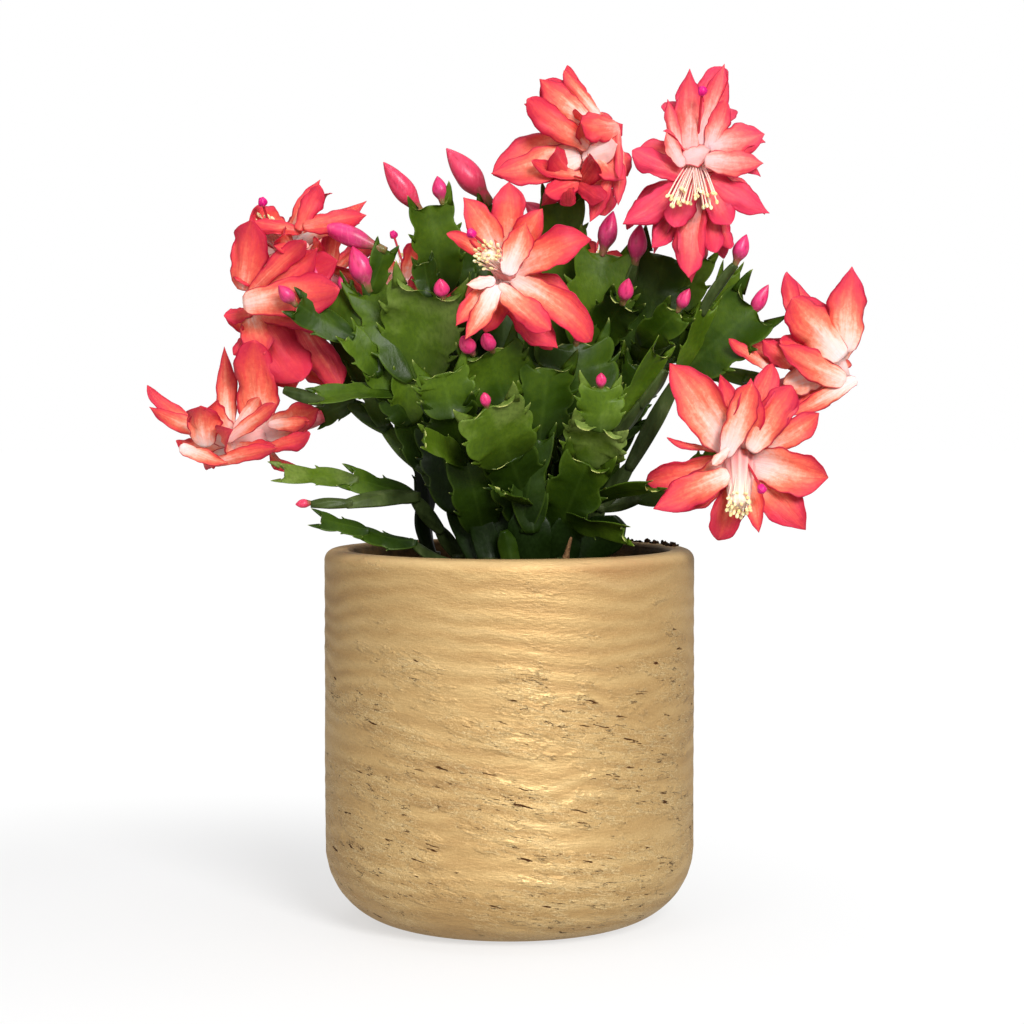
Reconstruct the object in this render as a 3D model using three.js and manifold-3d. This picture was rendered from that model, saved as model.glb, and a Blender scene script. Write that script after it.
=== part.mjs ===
// Potted christmas cactus. Millimetres, +Z up, origin at the centre of the pot's base.
// -Y is the front. Stems and blooms are laid out by joint points in the pot's own frame.
import * as THREE from 'three';
import { mergeVertices } from 'three/addons/utils/BufferGeometryUtils.js';
import Module from 'manifold-3d';

const wasm = await Module();
wasm.setup();

// Pot
const POT_RADIUS = 70;
const POT_HEIGHT = 141;
const FOOT_ROUNDING = 29;
const RIM_ROUNDING = 4;
const RIM_INNER_ROUNDING = 1.5;
const BORE_RADIUS = 60.5;
const FLOOR_HEIGHT = 12;
const BORE_ROUNDING = 18;
const POT_SIDES = 44;

// Soil
const SOIL_EDGE_HEIGHT = 132;
const SOIL_TOP_HEIGHT = 135.5;
const SOIL_SIDES = 24;
const GAP = 0.3;
const PEG_DEPTH = 14;

// Stem segments
const BLADE_THICKNESS = 1.6;
const WOODY_THICKNESS = 3.2;
const PLAIN_BELOW = 9;
const ONE_TOOTH_BELOW = 15;
const TOOTH_SHIFT = 0.07;
const SIDE_SEED = 3;
const NAME_SEED = 7;
const SINK = 2.2;

// Petals
const PETAL_THICKNESS = 0.9;
const MOUTH_RADIUS = 4.6;
const TUBE_SIDES = 6;

// A joined solid loses the points that lie within this distance of a flat face or a straight edge,
// where the face turns by less than this cosine and no sliver is left.
const FLAT_TOLERANCE = 0.07;
const FLAT_COSINE = 0.97;
const SLIVER_AREA = 1e-3;
const WELD = 1e-4;

const UP = new THREE.Vector3(0, 0, 1);
const SIDEWAYS = new THREE.Vector3(1, 0, 0);
const NEARLY_PARALLEL = 0.9;
const vec = (p) => new THREE.Vector3(p[0], p[1], p[2]);
const rad = (degrees) => (degrees * Math.PI) / 180;

// A number from 0 to 1 that depends on the seed alone.
function chance(seed) {
  const x = Math.sin(seed * 12.9898) * 43758.5453;
  return x - Math.floor(x);
}

// Materials
const PAINT = {
  pot: 0xe2bc7f,
  soil: 0x3a2a1d,
  leaf: 0x4f7022,
  petal: 0xf06a64,
  stamen: 0xf3e6bd,
  style: 0xd0116e,
  bud: 0xec4f73,
};
const ROUGHNESS = {
  pot: 0.45,
  soil: 0.95,
  leaf: 0.5,
  petal: 0.55,
  stamen: 0.6,
  style: 0.5,
  bud: 0.5,
};
const POT_METALNESS = 0.5;

function material(kind) {
  return new THREE.MeshStandardMaterial({
    color: PAINT[kind],
    roughness: ROUGHNESS[kind],
    metalness: kind === 'pot' ? POT_METALNESS : 0,
  });
}

// Solids
function solidFromGeometry(geometry) {
  const bare = geometry.clone();
  bare.deleteAttribute('normal');
  bare.deleteAttribute('uv');
  const merged = mergeVertices(bare, WELD);
  return new wasm.Manifold(new wasm.Mesh({
    numProp: 3,
    vertProperties: new Float32Array(merged.attributes.position.array),
    triVerts: new Uint32Array(merged.index.array),
  }));
}

function solidFromFaces(points, faces) {
  const geometry = new THREE.BufferGeometry();
  const positions = points.flatMap((p) => [p.x, p.y, p.z]);
  geometry.setAttribute('position', new THREE.Float32BufferAttribute(positions, 3));
  geometry.setIndex(faces.flat());
  return solidFromGeometry(geometry);
}

// Turns a solid that came out inside out.
function rightWayOut(solid) {
  if (solid.volume() > 0) return solid;
  const { vertProperties, triVerts } = solid.getMesh();
  return new wasm.Manifold(new wasm.Mesh({ numProp: 3, vertProperties, triVerts: triVerts.reverse() }));
}

function join(solids) {
  return solids.reduce((whole, next) => whole.add(next));
}

function largestPiece(solid) {
  const pieces = solid.decompose();
  return pieces.reduce((best, next) => (next.volume() > best.volume() ? next : best));
}

// Takes out the points that joining leaves in the middle of a flat face or of a straight edge, by sliding
// each one onto a neighbour where no face around it turns or moves.
function dropFlatPoints(positions, triangles) {
  const corner = (id) => new THREE.Vector3().fromArray(positions, id * 3);
  const faces = [];
  const around = new Map();
  for (let i = 0; i < triangles.length; i += 3) {
    const face = [triangles[i], triangles[i + 1], triangles[i + 2]];
    face.forEach((id) => around.set(id, (around.get(id) ?? new Set()).add(faces.length)));
    faces.push(face);
  }
  const cross = (face) => {
    const [a, b, c] = face.map(corner);
    return b.sub(a).cross(c.sub(a));
  };
  const neighbours = (id) => {
    const found = new Set([...around.get(id)].flatMap((f) => faces[f]));
    found.delete(id);
    return found;
  };
  const staysFlat = (id, target, moved) => moved.every((f) => {
    const before = cross(faces[f]);
    const after = cross(faces[f].map((other) => (other === id ? target : other)));
    if (after.length() < SLIVER_AREA) return false;
    after.normalize();
    const shift = Math.abs(corner(id).sub(corner(target)).dot(after));
    return shift < FLAT_TOLERANCE && before.normalize().dot(after) > FLAT_COSINE;
  });
  const queue = [...around.keys()];
  while (queue.length) {
    const id = queue.pop();
    if (!around.has(id)) continue;
    const near = neighbours(id);
    const target = [...near].find((other) => {
      const shared = [...near].filter((third) => neighbours(other).has(third));
      const moved = [...around.get(id)].filter((f) => !faces[f].includes(other));
      return shared.length === 2 && staysFlat(id, other, moved);
    });
    if (target === undefined) continue;
    [...around.get(id)].forEach((f) => {
      if (faces[f].includes(target)) {
        faces[f].forEach((other) => around.get(other).delete(f));
        faces[f] = null;
      } else {
        faces[f] = faces[f].map((other) => (other === id ? target : other));
        around.get(target).add(f);
      }
    });
    around.delete(id);
    queue.push(...near);
  }
  return faces.filter((face) => face).flat();
}

function meshFromSolid(name, solid, kind) {
  const { vertProperties, triVerts } = solid.getMesh();
  const joined = new THREE.BufferGeometry();
  joined.setAttribute('position', new THREE.BufferAttribute(new Float32Array(vertProperties), 3));
  joined.setIndex(dropFlatPoints(vertProperties, triVerts));
  const geometry = mergeVertices(joined.toNonIndexed(), WELD);
  geometry.computeVertexNormals();
  const mesh = new THREE.Mesh(geometry, material(kind));
  mesh.name = name;
  return mesh;
}

// A tapering tube through the given points, closed at both ends.
function loft(centres, radii, sides) {
  const points = [];
  const faces = [];
  let across = null;
  centres.forEach((centre, i) => {
    const before = centres[Math.max(0, i - 1)];
    const after = centres[Math.min(centres.length - 1, i + 1)];
    const along = after.clone().sub(before).normalize();
    if (!across) across = Math.abs(along.x) < NEARLY_PARALLEL ? SIDEWAYS : UP;
    across = across.clone().addScaledVector(along, -across.dot(along)).normalize();
    const third = new THREE.Vector3().crossVectors(along, across);
    for (let k = 0; k < sides; k += 1) {
      const angle = (2 * Math.PI * k) / sides;
      points.push(centre.clone()
        .addScaledVector(across, radii[i] * Math.cos(angle))
        .addScaledVector(third, radii[i] * Math.sin(angle)));
    }
  });
  const rings = centres.length;
  for (let i = 0; i < rings - 1; i += 1) {
    for (let k = 0; k < sides; k += 1) {
      const a = i * sides + k;
      const b = i * sides + ((k + 1) % sides);
      faces.push([a, b, b + sides], [a, b + sides, a + sides]);
    }
  }
  for (let k = 1; k < sides - 1; k += 1) {
    faces.push([0, k + 1, k]);
    const last = (rings - 1) * sides;
    faces.push([last, last + k, last + k + 1]);
  }
  return solidFromFaces(points, faces);
}

function arcPoints(cx, cy, radius, from, to, steps) {
  const points = [];
  for (let i = 0; i <= steps; i += 1) {
    const angle = rad(from + ((to - from) * i) / steps);
    points.push(new THREE.Vector2(cx + radius * Math.cos(angle), cy + radius * Math.sin(angle)));
  }
  return points;
}

// Pot: straight wall, strongly rounded foot, flat base, thick rim
const FOOT_STEPS = 4;
const RIM_STEPS = 2;
const BORE_STEPS = 3;

function potProfile() {
  const lip = BORE_RADIUS + RIM_INNER_ROUNDING;
  return [
    new THREE.Vector2(0, 0),
    ...arcPoints(POT_RADIUS - FOOT_ROUNDING, FOOT_ROUNDING, FOOT_ROUNDING, -90, 0, FOOT_STEPS),
    ...arcPoints(POT_RADIUS - RIM_ROUNDING, POT_HEIGHT - RIM_ROUNDING, RIM_ROUNDING, 0, 90, RIM_STEPS),
    ...arcPoints(lip, POT_HEIGHT - RIM_INNER_ROUNDING, RIM_INNER_ROUNDING, 90, 180, 1),
    ...arcPoints(BORE_RADIUS - BORE_ROUNDING, FLOOR_HEIGHT + BORE_ROUNDING, BORE_ROUNDING, 0, -90, BORE_STEPS),
    new THREE.Vector2(0, FLOOR_HEIGHT),
  ];
}

function lathe(profile, sides) {
  const geometry = new THREE.LatheGeometry(profile, sides);
  geometry.rotateX(Math.PI / 2);
  return solidFromGeometry(geometry);
}

function makePot() {
  return lathe(potProfile(), POT_SIDES);
}

// Soil: fills the bore and rises slightly to the middle
const SOIL_CLEARANCE = 0.4;
const SOIL_SHOULDER = 0.55;
const SOIL_SHOULDER_DROP = 0.7;

function makeSoil(pegs) {
  const radius = BORE_RADIUS - SOIL_CLEARANCE;
  const bottom = FLOOR_HEIGHT + GAP;
  const profile = [
    new THREE.Vector2(0, bottom),
    ...arcPoints(radius - BORE_ROUNDING, bottom + BORE_ROUNDING, BORE_ROUNDING, -90, 0, BORE_STEPS),
    new THREE.Vector2(radius, SOIL_EDGE_HEIGHT),
    new THREE.Vector2(radius * SOIL_SHOULDER, SOIL_TOP_HEIGHT - SOIL_SHOULDER_DROP),
    new THREE.Vector2(0, SOIL_TOP_HEIGHT),
  ];
  return pegs.reduce((soil, peg) => soil.subtract(peg), lathe(profile, SOIL_SIDES));
}

// Outline of one half of a segment, from base to tip: [along, across] as parts of the length and of the width.
const HALF_PLAIN = [[0, 0.32], [0.55, 0.5], [1.0, 0.28]];
const HALF_ONE_TOOTH = [[0, 0.15], [0.55, 0.5], [0.64, 0.36], [1.1, 0.42], [1.0, 0.14]];
const HALF_TWO_TEETH = [
  [0, 0.13], [0.4, 0.5], [0.48, 0.38], [0.72, 0.52], [0.8, 0.38], [1.1, 0.44], [1.0, 0.14],
];

function halfOutline(width) {
  if (width < PLAIN_BELOW) return HALF_PLAIN;
  return width < ONE_TOOTH_BELOW ? HALF_ONE_TOOTH : HALF_TWO_TEETH;
}

// Flat face of a segment: normal to its run, as near to the facing direction as it can be, then turned.
function segmentAxes(from, to, turn, facing) {
  const along = to.clone().sub(from).normalize();
  const normal = facing.clone().addScaledVector(along, -facing.dot(along));
  normal.normalize().applyAxisAngle(along, rad(turn));
  return { along, normal, across: new THREE.Vector3().crossVectors(along, normal) };
}

// One stem segment, grown on all sides by the margin when it is used as a clearance.
function segmentSolid(from, to, width, turn, facing, seed, margin = 0) {
  const { along, normal, across } = segmentAxes(from, to, turn, facing);
  const start = from.clone().addScaledVector(along, -SINK - margin);
  const length = to.clone().sub(start).length() + margin;
  const half = halfOutline(width);
  const thickness = (width < PLAIN_BELOW ? WOODY_THICKNESS : BLADE_THICKNESS) + 2 * margin;
  const side = (sign) => half.map(([u, v], k) => {
    const inner = k > 0 && k < half.length - 1;
    const shift = inner ? (chance(seed + sign * SIDE_SEED + k) - 0.5) * TOOTH_SHIFT : 0;
    return new THREE.Vector2(sign * (v * width + margin), (u + shift) * length);
  });
  const outline = new THREE.Shape([...side(1), ...side(-1).reverse()]);
  const geometry = new THREE.ExtrudeGeometry(outline, { depth: thickness, bevelEnabled: false, steps: 1 });
  geometry.translate(0, 0, -thickness / 2);
  geometry.applyMatrix4(new THREE.Matrix4().makeBasis(across, along, normal).setPosition(start));
  return rightWayOut(solidFromGeometry(geometry));
}

// Leafy stems. A segment runs to a joint, has a width and a turn, and may carry more segments.
const seg = (to, width, turn = 0, kids = []) => ({ to, width, turn, kids });
const FRONT = new THREE.Vector3(0, -1, 0.25).normalize();

const FRONT_STEMS = {
  stem_left: { foot: [-12, -6], grows: seg([-20, -8, 156], 7, 10, [
    seg([-32, -10, 172], 8, 10, [
      seg([-47, -6, 187], 8, 20, [
        seg([-60, 0, 196], 8, 20, [seg([-71, 3, 191], 9)]),
        seg([-55, 2, 203], 9, 10, [
          seg([-69, 7, 215], 13, -20),
          seg([-60, 7, 222], 10, 30, [seg([-64, 8, 239], 12, 30)]),
        ]),
      ]),
      seg([-38, -16, 190], 12, 15, [
        seg([-44, -20, 199], 12, 10, [
          seg([-70, -28, 197], 10, 35, [seg([-83, -26, 201], 5)]),
          seg([-49, -22, 208], 12, 10, [
            seg([-59, -27, 221], 11, 15, [seg([-77, -32, 232], 12, 10)]),
            seg([-64, -15, 237], 12, -15),
          ]),
        ]),
        seg([-37, -22, 206], 13, 0, [
          seg([-29, -36, 237], 29, -8, [seg([-31, -38, 247], 9.6, 20)]),
          seg([-52, -18, 237], 18, 25, [seg([-46, -19, 253], 10, 30)]),
        ]),
      ]),
    ]),
  ]) },
  stem_front_left: { foot: [-7, -14], grows: seg([-12, -15, 157], 13, 0, [
    seg([-16, -25, 175], 16, 0, [
      seg([-21, -44, 193], 20, -10, [seg([-24, -47, 207], 20, 0)]),
      seg([-31, -50, 183], 10, 10),
    ]),
  ]) },
  stem_upper_left: { foot: [-4, 14], grows: seg([-8, 12, 163], 11, 20, [
    seg([-14, 10, 189], 14, -10, [
      seg([-19, 6, 216], 15, 10, [
        seg([-25, 0, 239], 14, 0, [seg([-30, -6, 270], 18, 10)]),
        seg([-20, 12, 238], 14, -25, [seg([-19, 15, 260], 15, -15)]),
        seg([-9, 14, 244], 13, 10, [seg([-7, 14, 272], 13, 20)]),
      ]),
    ]),
  ]) },
  stem_centre: { foot: [8, -14], grows: seg([7, -20, 159], 21, 0, [
    seg([0, -34, 176], 21, 0, [seg([-8, -52, 195], 25, 0)]),
    seg([4, -22, 181], 14, 10, [seg([-2, -34, 197], 16, 0, [seg([-7, -42, 215], 24, 5)])]),
    seg([11, -24, 183], 13, -10, [seg([14, -34, 209], 21, 10)]),
    seg([-3, -40, 163], 9.6, 60),
  ]) },
  stem_front_right: { foot: [20, -10], grows: seg([21, -16, 154], 17, 0, [
    seg([29, -32, 175], 20, 0, [seg([33, -43, 188], 22, 0, [seg([33, -46, 202], 16, 0)])]),
    seg([27, -18, 174], 12, 0, [
      seg([26, -18, 191], 16, 0, [seg([24, -22, 218], 29, 5)]),
      seg([38, -23, 183], 9, 20, [
        seg([54, -30, 214], 11, 40),
        seg([49, -30, 197], 7, 60, [seg([57, -35, 208], 6, 60)]),
      ]),
    ]),
    seg([51, -36, 165], 9.6, 70),
    seg([42, -36, 150], 9.6, 60),
  ]) },
  stem_right: { foot: [26, 4], grows: seg([35, 2, 157], 7, 0, [
    seg([46, -2, 173], 6.5, 0, [
      seg([63, -8, 205], 6.5, 0, [
        seg([68, -10, 210], 7, 0, [
          seg([91, -17, 231], 23, 0),
          seg([90, -10, 205], 10, 60, [seg([99, -10, 201], 8, 60)]),
        ]),
        seg([72, -20, 231], 13, 50, [seg([83, -25, 247], 6, 60)]),
      ]),
    ]),
    seg([50, 5, 160], 7, 30, [seg([68, 7, 168], 12, 30, [seg([81, -2, 177], 11, 20)])]),
  ]) },
  stem_centre_right: { foot: [12, 8], grows: seg([18, 9, 166], 12, 0, [
    seg([25, 8, 191], 15, 0, [
      seg([30, 3, 216], 16, 0, [
        seg([36, -4, 252], 23, 0),
        seg([42, -18, 233], 15, 10),
        seg([43, -2, 236], 9, 30, [seg([47, -6, 248], 7, 60)]),
      ]),
      seg([21, 10, 216], 13, 10, [seg([20, 9, 240], 14, 0, [seg([20, 3, 272], 17, 0)])]),
    ]),
  ]) },
  stem_upper_right: { foot: [24, 16], grows: seg([33, 15, 164], 11, 0, [
    seg([43, 12, 188], 14, 0, [
      seg([49, 8, 212], 15, 0, [
        seg([59, 6, 252], 21, 5),
        seg([51, -8, 219], 10, 0, [seg([62, -25, 230], 14, 20)]),
      ]),
      seg([58, 14, 214], 12, -10, [
        seg([66, 13, 232], 13, 0, [seg([73, 10, 252], 13, 10)]),
        seg([76, 14, 226], 12, 20, [seg([83, 9, 246], 12, 40)]),
      ]),
    ]),
  ]) },
  stem_low_left: { foot: [-19, 4], grows: seg([-27, -3, 149], 6, 0, [
    seg([-36, -13, 161], 6, 0, [
      seg([-58, -21, 168], 11, 25, [seg([-83, -26, 170], 9.6, 30)]),
      seg([-60, -27, 159], 7, 20, [seg([-73, -29, 159], 4.5, 20)]),
    ]),
  ]) },
  stem_over_rim: { foot: [-24, -24], grows: seg([-36, -35, 145.5], 7, 50, [
    seg([-53, -42, 150], 10, 45, [seg([-68, -46, 154], 9.6, 40)]),
  ]) },
};

// Stems on the far side grow by rule: they fork twice and arch over as they go out.
const BACK_AZIMUTHS = [42, 77, 112, 149];
const BACK_FOOT_RADIUS = 35;

function arm(from, azimuth, elevation, length) {
  const flat = length * Math.cos(rad(elevation));
  return [
    from[0] + flat * Math.cos(rad(azimuth)),
    from[1] + flat * Math.sin(rad(azimuth)),
    from[2] + length * Math.sin(rad(elevation)),
  ];
}

function backStem(azimuth, order) {
  const draw = (k) => chance(order * 17 + k);
  const foot = arm([0, 0, 0], azimuth, 0, BACK_FOOT_RADIUS).slice(0, 2);
  const low = arm([...foot, SOIL_TOP_HEIGHT], azimuth, 82, 26 + 4 * draw(1));
  const crown = arm(low, azimuth, 76, 27 + 4 * draw(2));
  const fork = [-1, 1].map((side, k) => {
    const heading = azimuth + side * (20 + 8 * draw(3 + k));
    const middle = arm(crown, heading, 64 - 10 * draw(5 + k), 24 + 5 * draw(7 + k));
    const tips = [-1, 1].map((turnTo, m) => {
      const rise = 44 + 26 * turnTo * side;
      const tip = arm(middle, heading + turnTo * 24 - side * 6, rise, 25 + 5 * draw(9 + k * 2 + m));
      return seg(tip, 17 + 5 * draw(14 + k * 2 + m), 20 * turnTo);
    });
    return seg(middle, 17, 10 * side, tips);
  });
  const facing = [Math.cos(rad(azimuth)), Math.sin(rad(azimuth)), 0.5];
  return { foot, grows: seg(low, 12, 0, [seg(crown, 16, 0, fork)]), facing };
}

const BACK_STEMS = Object.fromEntries(
  BACK_AZIMUTHS.map((azimuth, i) => [`stem_back_${i + 1}`, backStem(azimuth, i + 1)]),
);
const STEMS = { ...FRONT_STEMS, ...BACK_STEMS };

// The peg of a stem stands in its hole in the soil, and the first segment starts a little above it.
const PEG_RADIUS = 3.2;
const PEG_TAPER = 0.8;
const PEG_TOP = 3;
const PEG_SIDES = 5;
const COLLAR = 2;

function pegSolid(foot, margin = 0) {
  const [x, y] = foot;
  const bottom = new THREE.Vector3(x, y, SOIL_TOP_HEIGHT - PEG_DEPTH - margin);
  const top = new THREE.Vector3(x, y, SOIL_TOP_HEIGHT + PEG_TOP + margin);
  return loft([bottom, top], [PEG_RADIUS * PEG_TAPER + margin, PEG_RADIUS + margin], PEG_SIDES);
}

function stemSolid(name, stem, margin = 0) {
  const facing = stem.facing ? vec(stem.facing).normalize() : FRONT;
  const solids = [pegSolid(stem.foot, margin)];
  let count = 0;
  const grow = (from, { to, width, turn, kids }) => {
    count += 1;
    const seed = name.length * NAME_SEED + count;
    solids.push(segmentSolid(vec(from), vec(to), width, turn, facing, seed, margin));
    kids.forEach((kid) => grow(to, kid));
  };
  grow([...stem.foot, SOIL_TOP_HEIGHT + COLLAR], stem.grows);
  return join(solids);
}

// Petals: a bent blade from its ring on the tube to its tip, as [along, part of the width] rows
const PETAL_ROWS = [[0, 0.3], [0.36, 0.9], [0.74, 0.92]];

function petalSolid(root, tip, axis, radial, { width, lift, turn, toFront }, margin = 0) {
  const chord = tip.clone().sub(root);
  const middle = root.clone().addScaledVector(chord, 0.5).addScaledVector(axis, lift * chord.length());
  const curve = new THREE.QuadraticBezierCurve3(root, middle, tip);
  const turned = (toFront ? chord.clone().cross(FRONT) : axis.clone().cross(radial)).normalize()
    .applyAxisAngle(chord.clone().normalize(), rad(turn));
  const half = PETAL_THICKNESS / 2 + margin;
  const points = [];
  const add = (u, offset, reach = 0) => {
    const along = curve.getTangent(u);
    const side = turned.clone().addScaledVector(along, -turned.dot(along)).normalize();
    const normal = new THREE.Vector3().crossVectors(side, along);
    const centre = curve.getPoint(u).addScaledVector(side, offset).addScaledVector(along, reach);
    points.push(centre.clone().addScaledVector(normal, half), centre.clone().addScaledVector(normal, -half));
    return points.length / 2 - 1;
  };
  const rows = PETAL_ROWS.map(([u, part]) => {
    const reach = (part * width) / 2 + margin;
    return [add(u, -reach), add(u, reach)];
  });
  const tipId = add(1, 0, margin);
  const top = rows.slice(1).flatMap(([left, right], k) => [
    [rows[k][0], rows[k][1], right],
    [rows[k][0], right, left],
  ]);
  const [lastLeft, lastRight] = rows[rows.length - 1];
  top.push([lastLeft, lastRight, tipId]);
  const ring = [...rows.map(([left]) => left), tipId, ...rows.map(([, right]) => right).reverse()];
  const faces = [
    ...top.map((face) => face.map((id) => id * 2)),
    ...top.map(([a, b, c]) => [a * 2 + 1, c * 2 + 1, b * 2 + 1]),
    ...ring.flatMap((id, k) => {
      const next = ring[(k + 1) % ring.length];
      return [[id * 2, next * 2 + 1, id * 2 + 1], [id * 2, next * 2, next * 2 + 1]];
    }),
  ];
  return rightWayOut(solidFromFaces(points, faces));
}

// Blooms: the tube runs from the tip of a segment to the throat. A petal is its tip, width, whorl, lift
// and turn. Its face looks along the tube, or to the front where the bloom is seen from its side.
const INNER = 1;
const OUTER = 0;
const petal = (tip, width, whorl = INNER, lift = 0.2, turn = 0) => (
  { tip, width, whorl, lift, turn, toFront: false }
);
const frontPetal = (tip, width, whorl = INNER, lift = 0.12, turn = 0) => (
  { tip, width, whorl, lift, turn, toFront: true }
);

const BLOOMS = {
  bloom_lower_left: { foot: [-71, 3, 191], throat: [-107, -8, 179], ring: 0.6, petals: [
    frontPetal([-94, -16, 220], 17, OUTER, 0.1, -10), frontPetal([-137, -2, 201], 7, INNER, 0.15, 20),
    frontPetal([-134, -16, 195], 7, INNER, 0.15, -20), frontPetal([-113, -28, 196], 15, INNER, 0.1, 0),
    petal([-103, -36, 186], 11, INNER, 0.2, 0), frontPetal([-125, -8, 180], 9, INNER, 0.1, 30),
    petal([-108, 6, 216], 8, INNER, 0.2, 0), frontPetal([-70, -20, 194], 13, OUTER, 0.1, 10),
    frontPetal([-86, -20, 180], 8, INNER, 0.1, -10), petal([-84, 14, 170], 10, OUTER, 0.1, 0),
    petal([-120, 12, 174], 11, INNER, 0.2, 0),
  ] },
  bloom_upper_left: { foot: [-64, 8, 239], throat: [-84, -6, 254], ring: 0.55,
    pistil: [[-92, -14, 262], [-91, -20, 270]], petals: [
    frontPetal([-96, -13, 268], 14, INNER, 0.1, 15), frontPetal([-78, 4, 267], 12, INNER, 0.1, -20),
    frontPetal([-72, 6, 280], 8, INNER, 0.1, 10), frontPetal([-55, 8, 270], 9, INNER, 0.1, -10),
    petal([-84, -28, 259], 9, INNER, 0.1, 0), frontPetal([-101, -17, 240], 14, INNER, 0.15, 10),
    petal([-105, 5, 248], 13, INNER, 0.2, 0), frontPetal([-69, -22, 256], 9, OUTER, 0.1, 0),
    frontPetal([-64, -10, 229], 11, OUTER, 0.1, 0), petal([-55, 16, 240], 10, OUTER, 0.1, 0),
    frontPetal([-86, -22, 231], 12, INNER, 0.15, 10),
  ] },
  bloom_left_behind: { foot: [-69, 7, 215], throat: [-87, 4, 221], ring: 0.6, petals: [
    frontPetal([-108, 0, 229], 9, INNER, 0.1, 0), frontPetal([-101, -12, 224], 12, INNER, 0.1, 15),
    frontPetal([-93, -8, 204], 14, INNER, 0.15, 0), frontPetal([-81, 2, 201], 13, INNER, 0.15, 0),
    petal([-98, 16, 234], 12, INNER, 0.2, 0), petal([-102, 16, 212], 11, INNER, 0.2, 0),
    frontPetal([-66, -2, 202], 10, OUTER, 0.1, 0), petal([-74, -8, 230], 9, OUTER, 0.1, 0),
  ] },
  bloom_centre: { foot: [-2, -10, 232], throat: [-1, -44, 244], ring: 0.75,
    pistil: [[-8, -58, 249], [-13, -63, 256]], petals: [
    petal([-16, -52, 270], 12), petal([0, -50, 276], 12.5), petal([11, -57, 265], 10.5),
    petal([30, -48, 257], 14), petal([31, -50, 219], 12), petal([-9, -46, 221], 11),
    petal([-19, -58, 224], 8), petal([-22, -54, 257], 6), petal([23, -38, 236], 10, OUTER, 0.1),
    petal([16, -42, 216], 10, OUTER, 0.1), petal([-25, -34, 232], 7, OUTER, 0.1),
    petal([10, -34, 260], 9, OUTER, 0.1),
  ] },
  bloom_top_centre: { foot: [20, 3, 272], throat: [33, -12, 294], ring: 0.6, petals: [
    frontPetal([21, -8, 321], 8, INNER, 0.1, 20), frontPetal([12, -18, 315], 13, INNER, 0.1, -15),
    frontPetal([5, -26, 305], 12, INNER, 0.15, 10), frontPetal([24, -32, 300], 12, INNER, 0.1, 30),
    frontPetal([42, -8, 300], 8, INNER, 0.1, 20), frontPetal([-6, -16, 281], 14, INNER, 0.2, -20),
    petal([32, 14, 309], 12, INNER, 0.2, 0), frontPetal([44, -16, 280], 10, INNER, 0.15, 20),
    frontPetal([12, -12, 269], 9, OUTER, 0.1, 0), frontPetal([36, -14, 265], 11, OUTER, 0.1, 10),
    frontPetal([24, -24, 277], 10, OUTER, 0.1, 0), petal([38, 10, 277], 9, OUTER, 0.1, 0),
    petal([10, 10, 285], 9, OUTER, 0.1, 0),
  ] },
  bloom_top_right: { foot: [73, 10, 252], throat: [69, -20, 286], ring: 0.8,
    pistil: [[66, -41, 270], [70, -34, 309]], petals: [
    petal([78, -18, 321], 11), petal([66, -22, 316], 10), petal([58, -14, 309], 8),
    petal([94, -24, 294], 14), petal([92, -32, 281], 10), petal([57, -34, 296], 7),
    petal([45, -20, 288], 11), petal([84, -2, 308], 10), petal([42, -14, 262], 12, OUTER, 0.15),
    petal([96, -12, 267], 12, OUTER, 0.15), petal([66, -32, 241], 11, OUTER, 0.2),
    petal([52, -26, 252], 8, OUTER, 0.15), petal([80, -24, 250], 8, OUTER, 0.15),
    petal([80, 14, 282], 9, OUTER, 0.1),
  ] },
  bloom_lower_right: { foot: [81, -2, 177], throat: [84, -38, 175], ring: 0.75,
    pistil: [[82, -55, 160], [90, -56, 166]], petals: [
    petal([58, -42, 211], 17), petal([87, -50, 205], 11), petal([103, -44, 203], 12),
    petal([115, -38, 193], 10), petal([116, -46, 169], 16), petal([108, -44, 150], 14),
    petal([90, -50, 150], 8), petal([76, -44, 146], 12), petal([53, -40, 157], 13),
    petal([97, -30, 211], 10, OUTER, 0.1), petal([78, -28, 208], 9, OUTER, 0.1),
    petal([50, -32, 167], 11, OUTER, 0.1), petal([104, -28, 162], 10, OUTER, 0.1),
  ] },
  bloom_right: { foot: [99, -10, 201], throat: [126, -12, 210], ring: 0.6, petals: [
    frontPetal([127, -10, 246], 13, INNER, 0.05, 10), frontPetal([104, -15, 236], 16, INNER, 0.15, -10),
    frontPetal([98, -24, 217], 12, INNER, 0.2, 10), frontPetal([103, -2, 243], 9, INNER, 0.1, 20),
    petal([122, 18, 222], 12, INNER, 0.1, 0), frontPetal([106, -20, 193], 10, INNER, 0.1, 0),
    frontPetal([83, -14, 218], 8, OUTER, 0.1, 0), petal([104, 12, 195], 10, OUTER, 0.1, 0),
    frontPetal([94, -6, 219], 11, OUTER, 0.1, 0),
  ] },
};

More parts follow.
